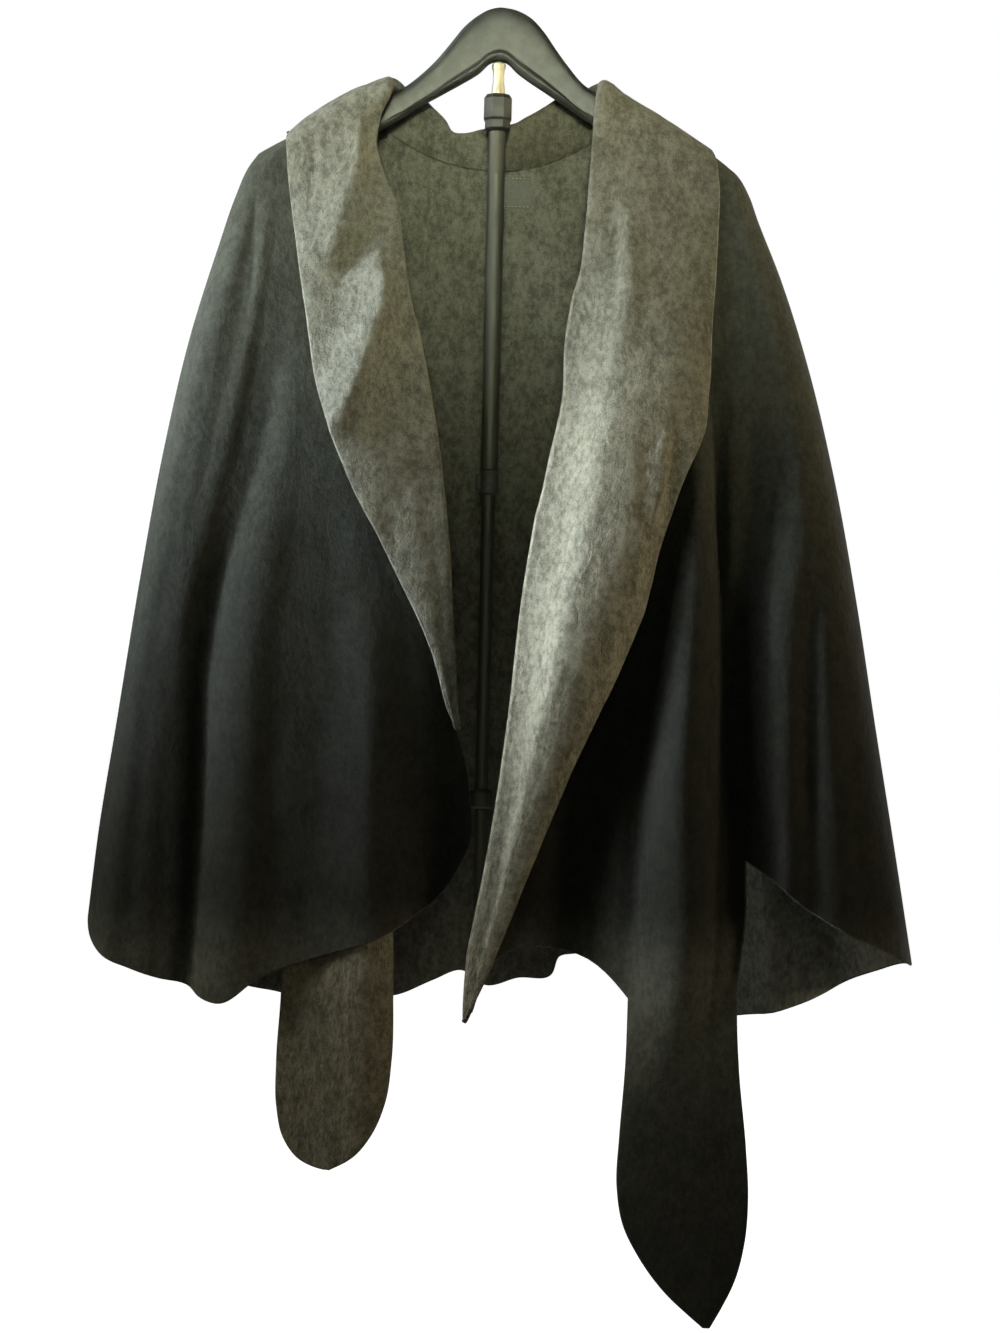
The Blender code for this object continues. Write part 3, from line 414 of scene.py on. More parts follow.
# Lights: place, aim and size in metres, watts, colour and spread in degrees
LIGHTS = {
    "key": ((-2.2, -0.6, 0.95), (0.05, -0.05, 0.45), (0.6, 0.9), 4.6, (1, 0.98, 0.86), 56),
    "collar_key": ((-2.2, -0.48, 0.6), (0.05, -0.08, 0.38), (0.5, 0.5), 2.5, (0.74, 0.89, 1), 14),
    "high_key": ((-1.3, -0.7, 1.7), (-0.05, 0, 0.6), (0.5, 0.5), 1.2, (0.85, 0.96, 1), 40),
    "front_fill": ((0, -2.5, 0.9), (0, 0, 0.4), (0.8, 0.8), 0.3, (0.94, 1, 0.72), 40),
    "neck_fill": ((0, -2.2, 1.0), (0, 0, 0.8), (0.5, 0.5), 0.6, (0.94, 1, 0.72), 13),
    "right_key": ((2.2, -0.6, 1.0), (0.05, 0, 0.5), (0.6, 0.8), 2.4, (1, 0.86, 0.56), 45),
    "back_fill": ((1.7, 1.7, 0.7), (0, 0.08, 0.3), (1, 1), 20, (1, 1, 1), 180),
}
AMBIENT_COLOUR, AMBIENT_STRENGTH = (1, 1, 0.97, 1), 0.002

# The photograph's frame: the camera's place and roll, and the rows that it sees at the hanger
CAMERA_PLACE = (0.01444, -2.4, 0.24279)
CAMERA_ROLL = -1.397
PHOTO_ROWS, PIXEL = 1333, 0.92
SENSOR = 36.0

FLOOR_HEIGHT = -420.0
FLOOR_SIZE = 60000.0


def smooth(at, firsts, seconds, flat_start=False, flat_end=False):
    """A curve without overshoot through a table's points, read at many values of its first column."""
    firsts, seconds = np.array(firsts, float), np.array(seconds, float)
    steps = np.diff(firsts)
    slopes = np.diff(seconds) / steps
    product = slopes[:-1] * slopes[1:]
    total = np.where(product > 0, slopes[:-1] + slopes[1:], 1)
    inner = np.where(product > 0, 2 * product / total, 0)
    first = 0 if flat_start else slopes[0]
    last = 0 if flat_end else slopes[-1]
    tangents = np.concatenate([[first], inner, [last]])
    i = np.clip(np.searchsorted(firsts, at, side="right") - 1, 0, len(steps) - 1)
    t = np.clip((at - firsts[i]) / steps[i], 0, 1)
    start, end = seconds[i], seconds[i + 1]
    return hermite(start, end, tangents[i] * steps[i], tangents[i + 1] * steps[i], t)


def hermite(start, end, leaving, arriving, t):
    """A span between two ends with these tangents."""
    return (
        start * (2 * t**3 - 3 * t**2 + 1)
        + leaving * (t**3 - 2 * t**2 + t)
        + end * (3 * t**2 - 2 * t**3)
        + arriving * (t**3 - t**2)
    )


def spans_of(points):
    """Ends, tangents and lengths of the spans of smooth curves through points, one after another along
    the second-last axis."""
    steps = np.linalg.norm(np.diff(points, axis=-2), axis=-1)[..., None]
    slopes = np.diff(points, axis=-2) / steps
    early, late = steps[..., :-1, :], steps[..., 1:, :]
    inner = (slopes[..., :-1, :] * late + slopes[..., 1:, :] * early) / (early + late)
    tangents = np.concatenate([slopes[..., :1, :], inner, slopes[..., -1:, :]], axis=-2)
    leaving, arriving = tangents[..., :-1, :] * steps, tangents[..., 1:, :] * steps
    return points[..., :-1, :], points[..., 1:, :], leaving, arriving, steps


def eased(t):
    return t * t * (3 - 2 * t)


def shares_of(table, cells, flat_start=True, flat_end=True):
    """A coarse grid's shares cut finer, closest at the ends that are flat."""
    count = len(table) - 1
    return smooth(np.linspace(0, count, count * cells + 1), range(len(table)), table, flat_start, flat_end)


class Line:
    """A smooth curve through a few points, or several of them end to end, read by share of length."""

    def __init__(self, *stretches):
        spans = [spans_of(np.array(points, float)) for points in stretches]
        *self.spans, self.steps = (np.concatenate(part) for part in zip(*spans))
        self.starts = np.concatenate([[0], np.cumsum([steps.sum() for *_, steps in spans])])
        self.knots = np.concatenate([[0], np.cumsum(self.steps)])

    def share(self, part, along):
        """The share of the whole line at this share of one of its stretches."""
        start, end = self.starts[part : part + 2]
        return (start + (end - start) * np.asarray(along)) / self.starts[-1]

    def at(self, share):
        reach = np.clip(share, 0, 1) * self.knots[-1]
        i = np.clip(np.searchsorted(self.knots, reach, side="right") - 1, 0, len(self.steps) - 1)
        t = (reach[..., None] - self.knots[i][..., None]) / self.steps[i]
        return hermite(*(part[i] for part in self.spans), t)


def sampled(*stretches):
    """x and z of many points along smooth curves."""
    return np.vstack([Line(points).at(np.linspace(0, 1, OUTLINE_SAMPLES)) for points in stretches]).T


SHOULDER_CURVE = sampled(
    RIGHT_SHOULDER[::-1], RIGHT_SHOULDER[:1] + NECK_PEAK + LEFT_SHOULDER[:1], LEFT_SHOULDER
)
SIDE_CURVES = {1: sampled(LEFT_SIDE), -1: sampled(RIGHT_SIDE)}


def patch(top, low, start, end, across, down, across_top=None):
    """A grid of (x, z), row by row, that fills the space between four outlines."""
    above = top.at(across if across_top is None else across_top)[None]
    below = low.at(across)[None]
    near, far = start.at(down)[:, None], end.at(down)[:, None]
    u, v = across[None, :, None], down[:, None, None]
    flat = (1 - v) * ((1 - u) * top.at(0.0) + u * top.at(1.0))
    flat = flat + v * ((1 - u) * low.at(0.0) + u * low.at(1.0))
    return (1 - v) * above + v * below + (1 - u) * near + u * far - flat


def shoulder_height(x):
    return np.interp(x, *SHOULDER_CURVE)


def side_reach(x, z):
    """How far the side outline lies from the middle, on the side of this x."""
    left, right = (np.interp(z, SIDE_CURVES[side][1][::-1], SIDE_CURVES[side][0][::-1]) for side in (1, -1))
    return np.where(x > 0, left, -right)


def rounded(distance, radius):
    """The share of full depth at this distance inside an edge that is rounded over."""
    return np.sqrt(1 - (1 - np.clip(distance / radius, 0, 1)) ** 2)


def fold_rise(fold, x, z):
    line, (start_width, end_width), (start_rise, end_rise) = fold
    xs, zs = np.array(line, float).T
    along = np.clip((zs[0] - z) / (zs[0] - zs[-1]), 0, 1)
    crest = smooth(z, zs[::-1], xs[::-1])
    rise = start_rise * np.minimum(along / FOLD_ONSET, 1) + (end_rise - start_rise) * along
    off = np.minimum(abs(x - crest) / (start_width + (end_width - start_width) * along), 1)
    return rise * 0.5 * (1 + np.cos(math.pi * off))


def pleat_rise(pleat, x, z):
    """A groove beside a rounded ridge, with a steep step between them on the pleat's line."""
    high_side, (low, high), line = pleat
    xs, zs, heights = np.array(line, float).T[:, ::-1]
    off = (x - smooth(z, zs, xs)) * high_side
    off = np.where(off < 0, off / low, off / high)
    return smooth(z, zs, heights) * smooth(off, PLEAT_OFFSETS, PLEAT_SHAPE)


def crease_rise(crease, x, z):
    """A ridge or trough that is sharpest on its line and runs out on a flank to either side."""
    (near_width, far_width), points = crease
    line = Line(points).at(np.linspace(0, 1, CREASE_SAMPLES))
    nearest = np.full(x.shape, np.inf)
    rise = np.zeros(x.shape)
    for (ax, az, start), (bx, bz, end) in zip(line, line[1:]):
        along_x, along_z = bx - ax, bz - az
        t = np.clip(((x - ax) * along_x + (z - az) * along_z) / (along_x**2 + along_z**2), 0, 1)
        off_x, off_z = x - ax - along_x * t, z - az - along_z * t
        off = np.hypot(off_x, off_z)
        width = np.where(along_x * off_z > along_z * off_x, far_width, near_width)
        far = (np.sqrt(off**2 + CREASE_ROUNDING**2) - CREASE_ROUNDING) / width
        here = (start + (end - start) * t) * (1 - np.minimum(far, 1)) ** 2
        rise = np.where(off < nearest, here, rise)
        nearest = np.minimum(nearest, off)
    return rise


def uneven(x, z, size, seed):
    """Smooth noise between -1 and 1 that changes over this size."""
    lattice = np.random.default_rng(seed).uniform(-1, 1, (NOISE_LATTICE, NOISE_LATTICE))
    u, v = x / size, z / size
    i, j = np.floor(u).astype(int), np.floor(v).astype(int)
    u, v = eased(u - i), eased(v - j)
    i, j, next_i, next_j = (k % NOISE_LATTICE for k in (i, j, i + 1, j + 1))
    low = lattice[i, j] * (1 - u) + lattice[next_i, j] * u
    high = lattice[i, next_j] * (1 - u) + lattice[next_i, next_j] * u
    return low * (1 - v) + high * v


def unevenness(layers, x, z):
    return sum(height * uneven(x, z, size, seed) for size, height, seed in layers)


def stand_off(panel, x, z, spanned=0.0):
    """How far the panel's outer face lies from the plane of the hanger. Where a layer on it spans its
    troughs, spanned is the share of them that it doesn't follow."""
    rises = [fold_rise(fold, x, z) for fold in FOLDS[panel]]
    rises += [pleat_rise(pleat, x, z) for pleat in PLEATS[panel]]
    rises += [crease_rise(crease, x, z) for crease in CREASES[panel]]
    depth = smooth(z, DEPTH_HEIGHTS, DEPTHS[panel]) + unevenness(PANEL_UNEVEN, x, z)
    depth = depth + sum(rise - spanned * np.minimum(rise, 0) for rise in rises)
    from_side = rounded(side_reach(x, z) - abs(x), smooth(z, *SIDE_RADII))
    return depth * from_side * rounded(shoulder_height(x) - z, SHOULDER_RADIUS)


def panel_points(panel, grid, seam):
    """The outer face of a panel, its seams a half gap off the plane of the hanger."""
    facing = 1 if panel == "back" else -1
    x, z = grid[..., 0], grid[..., 1]
    y = facing * (stand_off(panel, x, z) + SEAM_GAP / 2)
    y.reshape(-1)[seam] = facing * SEAM_GAP / 2
    return np.stack([x, y, z], axis=-1)


def unit(vectors):
    return vectors / np.maximum(np.linalg.norm(vectors, axis=-1), TINY)[..., None]


def grid_faces(rows, columns):
    corner = (np.arange(rows - 1)[:, None] * columns + np.arange(columns - 1)).reshape(-1)
    return np.stack([corner, corner + columns, corner + columns + 1, corner + 1], axis=1)


def normals_of(points, faces):
    a, b, c, d = (points[faces[:, k]] for k in range(4))
    across = np.cross(c - a, d - b)
    total = np.zeros(points.shape)
    for k in range(4):
        np.add.at(total, faces[:, k], across)
    return unit(total)


def facing_normals(points, faces, facing):
    normals = normals_of(points, faces)
    return normals if np.sign(normals[:, 1].sum()) == facing else -normals


def rim_of(faces):
    """The edges, as pairs of points, that only one of the faces has."""
    edges = np.concatenate([faces[:, [k, (k + 1) % 4]] for k in range(4)])
    count = faces.max() + 1
    return edges[~np.isin(edges[:, 0] * count + edges[:, 1], edges[:, 1] * count + edges[:, 0])]


def add_mesh(name, points, faces, materials, kinds=None, sharp=SHARP_ANGLE):
    """A mesh object from points in millimetres, with a material for each kind of face."""
    mesh = bpy.data.meshes.new(name)
    mesh.from_pydata((np.asarray(points) * MM).tolist(), [], [tuple(face) for face in faces])
    for material in materials:
        mesh.materials.append(material)
    if kinds is not None:
        mesh.polygons.foreach_set("material_index", np.asarray(kinds, np.int32))
    mesh.update()
    mesh.shade_smooth()
    mesh.set_sharp_from_angle(angle=math.radians(sharp))
    made = bpy.data.objects.new(name, mesh)
    bpy.context.scene.collection.objects.link(made)
    return made


def cloth_wall(name, outer, faces, normals, materials, seam=()):
    """A closed wall of cloth: outer face, inner face and a rounded cut edge, flat where it is sewn."""
    count = len(outer)
    inner = outer - normals * WALL
    turned = np.sign(np.sum(normals_of(outer, faces) * normals)) > 0
    around = faces if turned else faces[:, ::-1]
    rim = rim_of(around)
    out = np.zeros(outer.shape)
    direction = np.cross(outer[rim[:, 1]] - outer[rim[:, 0]], normals[rim[:, 0]] + normals[rim[:, 1]])
    for k in range(2):
        np.add.at(out, rim[:, k], direction)
    out = unit(out)
    out[list(seam)] = 0
    border = np.unique(rim)
    where = np.zeros(count, int)
    where[border] = np.arange(len(border))
    points, levels = [outer, inner], [rim]
    for k in range(1, RIM_STEPS):
        turn = math.pi * k / RIM_STEPS
        middle = (outer[border] + inner[border]) / 2
        through = normals[border] * math.cos(turn) + out[border] * math.sin(turn)
        flat = normals[border] * (1 - 2 * k / RIM_STEPS)
        sewn = ~out[border].any(axis=1)
        through[sewn] = flat[sewn]
        points.append(middle + through * WALL / 2)
        levels.append(2 * count + (k - 1) * len(border) + where[rim])
    levels.append(rim + count)
    rims = [np.stack([a[:, 1], a[:, 0], b[:, 0], b[:, 1]], axis=1) for a, b in zip(levels, levels[1:])]
    all_faces = np.concatenate([around, around[:, ::-1] + count] + rims)
    kinds = [0] * len(faces) + [1] * len(faces) + [2] * (len(rim) * RIM_STEPS)
    return add_mesh(name, np.vstack(points), all_faces.tolist(), materials, kinds)


def dress(piece, node):
    """Puts a piece in its node's place, on the one body."""
    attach(piece, "root")
    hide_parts(node)


def panel_normals(points, faces, seam, facing):
    """Normals, laid within the seam's own plane where the panel is sewn."""
    normals = facing_normals(points, faces, facing)
    normals[seam, 1] = 0
    normals[seam] = unit(normals[seam])
    return normals


def front_seam(rows, columns):
    """The points of a front panel's shoulder, its first row, and of its side, its last column."""
    return list(range(columns)) + [j * columns + columns - 1 for j in range(1, rows)]


def hang_panel(name, node, points, seam, materials, more=(), more_faces=()):
    """Makes a panel's cloth from its grid, with more points where it runs on, and returns the normals
    of the grid."""
    grid = points.reshape(-1, 3)
    whole, faces = np.vstack([grid, *more]), np.concatenate([grid_faces(*points.shape[:2]), *more_faces])
    normals = panel_normals(whole, faces, seam, 1 if node == "back" else -1)
    dress(cloth_wall(name, whole, faces, normals, materials, seam), node)
    return normals[: len(grid)].reshape(points.shape)


def make_front_right(materials):
    columns, rows = shares_of(RIGHT_FRONT_COLUMNS, COLUMN_CELLS), shares_of(ROWS, ROW_CELLS)
    outline = (Line(line) for line in (RIGHT_SHOULDER, RIGHT_FRONT_HEM, RIGHT_FRONT_EDGE, RIGHT_SIDE))
    grid = patch(*outline, columns, rows)
    seam = front_seam(*grid.shape[:2])
    points = panel_points("front_right", grid, seam)
    return points, hang_panel("right_front_cloth", "front_right", points, seam, materials), rows


def left_tail_points(root):
    """The left front's tail: rows that run from the root line to the tip, softly crowned across."""
    start, end = np.array(TAIL_ROOT, float)
    across = np.linalg.norm(root[:, [0, 2]] - start, axis=1) / np.linalg.norm(end - start)
    t = np.arange(1, LEFT_TAIL_CELLS[1] + 1)[:, None] / LEFT_TAIL_CELLS[1]
    near, far = Line(LEFT_TAIL_INNER_EDGE).at(t), Line(LEFT_TAIL_OUTER_EDGE).at(t)
    place = near + (far - near) * across[None, :, None]
    settled = eased(np.minimum(t / LEFT_TAIL_SETTLING, 1))
    depth = LEFT_TAIL_DEPTH[0] + (LEFT_TAIL_DEPTH[1] - LEFT_TAIL_DEPTH[0]) * t
    hang = -depth - LEFT_TAIL_CROWN * (1 - t * t) * np.sin(math.pi * across)
    y = root[:, 1] + (hang - root[:, 1]) * settled
    return np.stack([place[..., 0], y, place[..., 1]], axis=-1)


def make_front_left(materials):
    hem = Line(LEFT_FRONT_HEM, TAIL_ROOT, LEFT_SIDE_HEM)
    before = hem.share(0, shares_of(BEFORE_TAIL_COLUMNS, BEFORE_TAIL_CELLS, flat_end=False))
    root_shares = np.linspace(0, 1, LEFT_TAIL_CELLS[0] + 1)
    beyond = hem.share(2, shares_of(TOWARDS_SIDE, COLUMN_CELLS, flat_start=False))
    columns = np.concatenate([before, hem.share(1, root_shares)[1:], beyond[1:]])
    rows = shares_of(ROWS, ROW_CELLS)
    grid = patch(Line(LEFT_SHOULDER), hem, Line(LEFT_FRONT_EDGE), Line(LEFT_SIDE), columns, rows)
    shape = grid.shape[:2]
    seam = front_seam(*shape)
    points = panel_points("front_left", grid, seam)
    flat = points.reshape(-1, 3)
    root = (shape[0] - 1) * shape[1] + len(before) - 1 + np.arange(len(root_shares))
    tail = left_tail_points(flat[root])
    index = np.vstack([root, len(flat) + np.arange(tail.shape[0] * tail.shape[1]).reshape(tail.shape[:2])])
    tail_faces = np.stack([index[:-1, :-1], index[1:, :-1], index[1:, 1:], index[:-1, 1:]], axis=-1)
    tail, tail_faces = tail.reshape(-1, 3), tail_faces.reshape(-1, 4)
    normals = hang_panel("left_front_cloth", "front_left", points, seam, materials, [tail], [tail_faces])
    return points, normals, rows


def make_back(materials):
    centre = len(BACK_NECK) // 2
    top = Line(RIGHT_SHOULDER[::-1], BACK_NECK[: centre + 1], BACK_NECK[centre:], LEFT_SHOULDER)
    shoulder = top.share(0, shares_of(BACK_SHOULDER_COLUMNS, BACK_COLUMN_CELLS))
    neck_right = top.share(1, shares_of(BACK_NECK_COLUMNS, BACK_COLUMN_CELLS, flat_end=False))
    neck_left = top.share(2, 1 - shares_of(BACK_NECK_COLUMNS, BACK_COLUMN_CELLS, flat_end=False)[::-1])
    shoulder_left = top.share(3, 1 - shares_of(BACK_SHOULDER_COLUMNS, BACK_COLUMN_CELLS)[::-1])
    top_shares = np.concatenate([shoulder, neck_right[1:], neck_left[1:], shoulder_left[1:]])
    half = shares_of(BACK_HEM_COLUMNS, BACK_COLUMN_CELLS, flat_end=False)
    hem_shares = np.concatenate([half, 1 - half[:-1][::-1]])
    rows = shares_of(ROWS, ROW_CELLS)
    grid = patch(top, Line(BACK_HEM), Line(RIGHT_SIDE), Line(LEFT_SIDE), hem_shares, rows, top_shares)
    count, columns = grid.shape[:2]
    first = len(shoulder) - 1
    neck = np.arange(first, columns - first)
    seam = [i for i in range(columns) if i <= neck[0] or i >= neck[-1]]
    seam += [j * columns for j in range(1, count)]
    seam += [j * columns + columns - 1 for j in range(1, count)]
    points = panel_points("back", grid, seam)
    return points, hang_panel("back_cloth", "back", points, seam, materials), neck


def make_right_tail(materials):
    """A grey strip, sewn at its top to the inside of the right front."""
    columns, rows = (cells + 1 for cells in RIGHT_TAIL_CELLS)
    s, t = (shares_of((0, 1 / 3, 2 / 3, 1), cells // 3) for cells in RIGHT_TAIL_CELLS)
    s, t = s[None], t[:, None]
    near, far = Line(RIGHT_TAIL_OUTER_EDGE).at(t), Line(RIGHT_TAIL_INNER_EDGE).at(t)
    place = near + (far - near) * s[..., None]
    x, z = place[..., 0], place[..., 1]
    hung_from = stand_off("front_right", x, np.full(x.shape, RIGHT_TAIL_TOP))
    y = -(hung_from - WALL - RIGHT_TAIL_INSET - RIGHT_TAIL_SWING * t)
    y = y - RIGHT_TAIL_CROWN * t * (1 - t) * np.sin(math.pi * s)
    points = np.stack([x, y, z], axis=-1).reshape(-1, 3)
    faces = grid_faces(rows, columns)
    normals = facing_normals(points, faces, -1)
    piece = cloth_wall("right_tail_cloth", points, faces, normals, materials)
    dress(piece, "tail_right")


def make_label(materials):
    """A bare patch that lies just inside the back, under the collar's seam, sewn along two edges."""
    side = LABEL_CELLS + 1
    across = np.linspace(-0.5, 0.5, side)
    x = np.tile(LABEL_PLACE[0] + LABEL_SIZE[0] * across, (side, 1))
    z = np.tile(LABEL_PLACE[1] - LABEL_SIZE[1] * across[:, None], (1, side))
    y = stand_off("back", x, z) - WALL - LABEL_GAP
    front = np.stack([x, y - LABEL_THICKNESS, z], axis=-1).reshape(-1, 3)
    back = np.stack([x, y, z], axis=-1).reshape(-1, 3)
    faces = grid_faces(side, side)
    rim, count = rim_of(faces), side * side
    rims = np.stack([rim[:, 1], rim[:, 0], rim[:, 0] + count, rim[:, 1] + count], axis=1)
    all_faces = np.concatenate([faces, faces[:, ::-1] + count, rims])
    parts = [(np.vstack([front, back]), all_faces.tolist())]
    reach = LABEL_SIZE[0] / 2 - STITCH_INSET - STITCH_SIZE[0] / 2
    for edge in (-1, 1):
        at_z = LABEL_PLACE[1] + edge * (LABEL_SIZE[1] / 2 - STITCH_INSET)
        for at_x in np.linspace(LABEL_PLACE[0] - reach, LABEL_PLACE[0] + reach, STITCHES_ACROSS):
            at_y = stand_off("back", np.array(at_x), np.array(at_z)) - WALL - LABEL_GAP - LABEL_THICKNESS
            parts.append(block((at_x, float(at_y), at_z), STITCH_SIZE))
    points, faces = joined(parts)
    kinds = [0] * len(all_faces) + [1] * (len(faces) - len(all_faces))
    piece = add_mesh("label_patch", points, faces, materials, kinds)
    dress(piece, "label")


def wrap_of(x, z, facing):
    """Where a point of the outline lies round the shoulder: below zero in front, above it behind."""
    drop = np.maximum(shoulder_height(x) - z, 0)
    quarter = SHOULDER_RADIUS * math.pi / 2
    near = SHOULDER_RADIUS * np.arccos(np.clip(1 - drop / SHOULDER_RADIUS, -1, 1))
    return facing * np.where(drop < SHOULDER_RADIUS, near, quarter + drop - SHOULDER_RADIUS)


def wrapped_point(x, wrap, front, spanned):
    """The outer face of the cloth at a place round the shoulder."""
    quarter = SHOULDER_RADIUS * math.pi / 2
    reach = abs(wrap)
    near = SHOULDER_RADIUS * (1 - np.cos(np.minimum(reach, quarter) / SHOULDER_RADIUS))
    drop = np.where(reach < quarter, near, SHOULDER_RADIUS + reach - quarter)
    z = shoulder_height(x) - drop
    y = np.where(wrap > 0, stand_off("back", x, z, spanned), -stand_off(front, x, z, spanned))
    return np.stack([x, y, z], axis=-1)


def wrapped_normal(x, wrap, front, spanned):
    step = NORMAL_STEP
    along = wrapped_point(x + step, wrap, front, spanned) - wrapped_point(x - step, wrap, front, spanned)
    round_it = wrapped_point(x, wrap + step, front, spanned) - wrapped_point(x, wrap - step, front, spanned)
    return unit(np.cross(along, round_it))


def collar_edge(share, front_edge):
    """The collar's free edge: down the front for shares below zero, round the back above it."""
    in_front = share <= 0
    front_x, front_z = front_edge.at(np.maximum(-share, 0)).T
    top_x, top_z = front_edge.at(0.0)
    turn = np.maximum(share, 0) ** COLLAR_BACK_TURN * math.pi / 2
    x = np.where(in_front, front_x, top_x * np.cos(turn))
    z = np.where(in_front, front_z, top_z + (COLLAR_BACK_DROP - top_z) * np.sin(turn))
    return x, wrap_of(x, z, np.where(in_front, -1, 1))


def blurred(values, lengths):
    """Vectors along a line, each made even with its neighbours."""
    weights = np.exp(-(((lengths[:, None] - lengths[None]) / COLLAR_BLUR) ** 2) / 2)
    return unit(weights @ values)


def refined(points, cells):
    """More points along the second axis, on smooth curves through those given."""
    *spans, _ = spans_of(points)
    parts = [hermite(*spans, k / cells) for k in range(cells)]
    stacked = np.stack(parts, axis=2).reshape(len(points), -1, points.shape[2])
    return np.concatenate([stacked, points[:, -1:]], axis=1)


def collar_base(front, back, columns, end):
    """Where a half is sewn on, from its low end up its front's edge and round the neck to the middle,
    with the panels' normals and the share of its length at each place."""
    points, normals, rows = front
    back_points, back_normals, _ = back
    kept = np.flatnonzero(rows <= end + TINY)[::-1]
    places = np.vstack([points[kept, 0], back_points[0, columns[1:]]])
    aways = np.vstack([normals[kept, 0], back_normals[0, columns[1:]]])
    lengths = np.cumsum(np.linalg.norm(np.diff(places[len(kept) - 1 :], axis=0), axis=1))
    return places, aways, np.concatenate([-rows[kept] / end, lengths / lengths[-1]])


def collar_face(collar, places, normals, shares):
    """The collar's visible face: it hooks round the panels' edge, stands above it, rolls over and lies
    outside. Returns its rows of points, and the panels' normals along the edge."""

    def along(form):
        return smooth(shares, *collar[form]) if form in collar else np.zeros(len(shares))

    side, front = collar["side"], collar["front"]
    places = places - np.outer(along("drop"), COLLAR_TIP_WAY)
    steps = np.linalg.norm(np.diff(places, axis=0), axis=1)
    lengths = np.concatenate([[0], np.cumsum(steps)])
    tangent = np.gradient(places, lengths, axis=0)
    normals = blurred(normals, lengths)
    off = blurred(np.cross(normals, tangent) * side, lengths)
    stand, swell = along("stand")[:, None], smooth(shares, *ROLL_SWELL)[:, None]
    radius = WALL * ROLL_RADIUS + smooth(shares, *ROLL_GAP)[:, None] + swell
    section = [places - off * COLLAR_LAP + normals * (swell - WALL / 2 - radius)]
    for angle in COLLAR_ROLL_ANGLES:
        turn = math.radians(angle)
        through = swell - WALL / 2 + radius * math.sin(turn)
        section.append(places + off * (stand + radius * math.cos(turn)) + normals * through)
    start_wrap = wrap_of(places[:, 0], places[:, 2], np.where(shares <= 0, -1, 1))
    end_x, end_wrap = collar_edge(shares, Line(collar["edge"]))
    clearance, span = smooth(shares, *COLLAR_CLEARANCE), smooth(shares, *COLLAR_SPAN)
    fullness = np.minimum(np.hypot(end_x - places[:, 0], end_wrap - start_wrap) / COLLAR_FULL_WIDTH, 1)
    for step in COLLAR_STEPS:
        x = places[:, 0] + (end_x - places[:, 0]) * step
        wrap = start_wrap + (end_wrap - start_wrap) * step
        spanned = span * min(step / COLLAR_SPAN_START, 1)
        point, away = wrapped_point(x, wrap, front, spanned), wrapped_normal(x, wrap, front, spanned)
        away = away * np.where(np.sum(away * normals, axis=1) < 0, -1, 1)[:, None]
        puffed = math.sin(math.pi * min(step * (1 - COLLAR_PUFF_START) + COLLAR_PUFF_START, 1))
        lift = along("puff") * puffed**COLLAR_PUFF_POWER
        lift = lift + along("roll") * smooth(step, *COLLAR_ROLL) + along("tilt") * step
        section.append(point + away * (clearance + lift * fullness + WALL)[:, None])
    face = refined(np.stack(section, axis=1), COLLAR_CELLS)
    middles = face.mean(axis=1, keepdims=True)
    return face - (face - middles) * along("narrowing")[:, None, None], normals


def make_collar(node, materials, places, aways, shares):
    """Half a shawl collar: its visible face, creased where it lies outside, and a wall behind it."""
    collar = COLLARS[node]
    face, edge_normals = collar_face(collar, places, aways, shares)
    rows, columns = face.shape[:2]
    faces, flat = grid_faces(rows, columns), face.reshape(-1, 3)
    outward = normals_of(flat, faces)
    fall_start = len(COLLAR_ROLL_ANGLES) * COLLAR_CELLS
    away = outward.reshape(face.shape)[:, fall_start + len(COLLAR_STEPS) // 2 * COLLAR_CELLS]
    turned = 1 if np.sum(away * edge_normals) > 0 else -1
    settled = eased(np.clip((np.arange(columns) - fall_start) / (2 * COLLAR_CELLS), 0, 1))
    x, y, z = flat.T
    rise = sum(crease_rise(crease, x, z) for crease in CREASES[node]) * (y < 0)
    rise = (rise + unevenness(COLLAR_UNEVEN, x + COLLAR_BACK_SHIFT * (y > 0), z)) * np.tile(settled, rows)
    flat = flat + turned * outward * rise[:, None]
    seam = np.arange((rows - 1) * columns, rows * columns)
    flat[seam, 0] = collar["side"] * SEAM_GAP / 2
    normals = normals_of(flat, faces) * turned
    normals[seam, 0] = 0
    normals[seam] = unit(normals[seam])
    dress(cloth_wall(collar["name"], flat, faces, normals, materials, seam), node)


def make_collars(fronts, back, greys, inner, edge):
    neck = back[2]
    middle = len(neck) // 2
    halves = zip(COLLARS, fronts, (neck[: middle + 1], neck[middle:][::-1]), greys)
    for node, front, columns, grey in halves:
        make_collar(node, [grey, inner, edge], *collar_base(front, back, columns, COLLARS[node]["end"]))


def ring_turns(sides):
    return 2 * math.pi * (np.arange(sides) + 0.5) / sides


def rounded_ring(sides, roundness):
    """Both coordinates, from -1 to 1, round a section between a rectangle and a circle."""
    turn = ring_turns(sides)
    return (np.copysign(abs(part) ** roundness, part) for part in (np.cos(turn), np.sin(turn)))


def make_hanger(material):
    """A bar along x whose rounded section follows the stations' edges and thickness."""
    stations = refined(np.array(HANGER, float)[None], HANGER_CELLS)[0]
    across, up = rounded_ring(HANGER_SIDES, HANGER_ROUNDNESS)
    points = []
    for x, high, low, thickness in stations:
        lip = smooth(x, *HANGER_LIP) * (up < HANGER_LIP_START)
        y = across * thickness / 2 + np.sign(across) * lip
        z = (high + low) / 2 + up * (high - low) / 2
        points.append(np.stack([np.full(HANGER_SIDES, x), y, z], axis=1))
    piece = add_mesh("hanger_bar", np.vstack(points), ring_faces(len(stations), HANGER_SIDES), [material])
    dress(piece, "hanger")


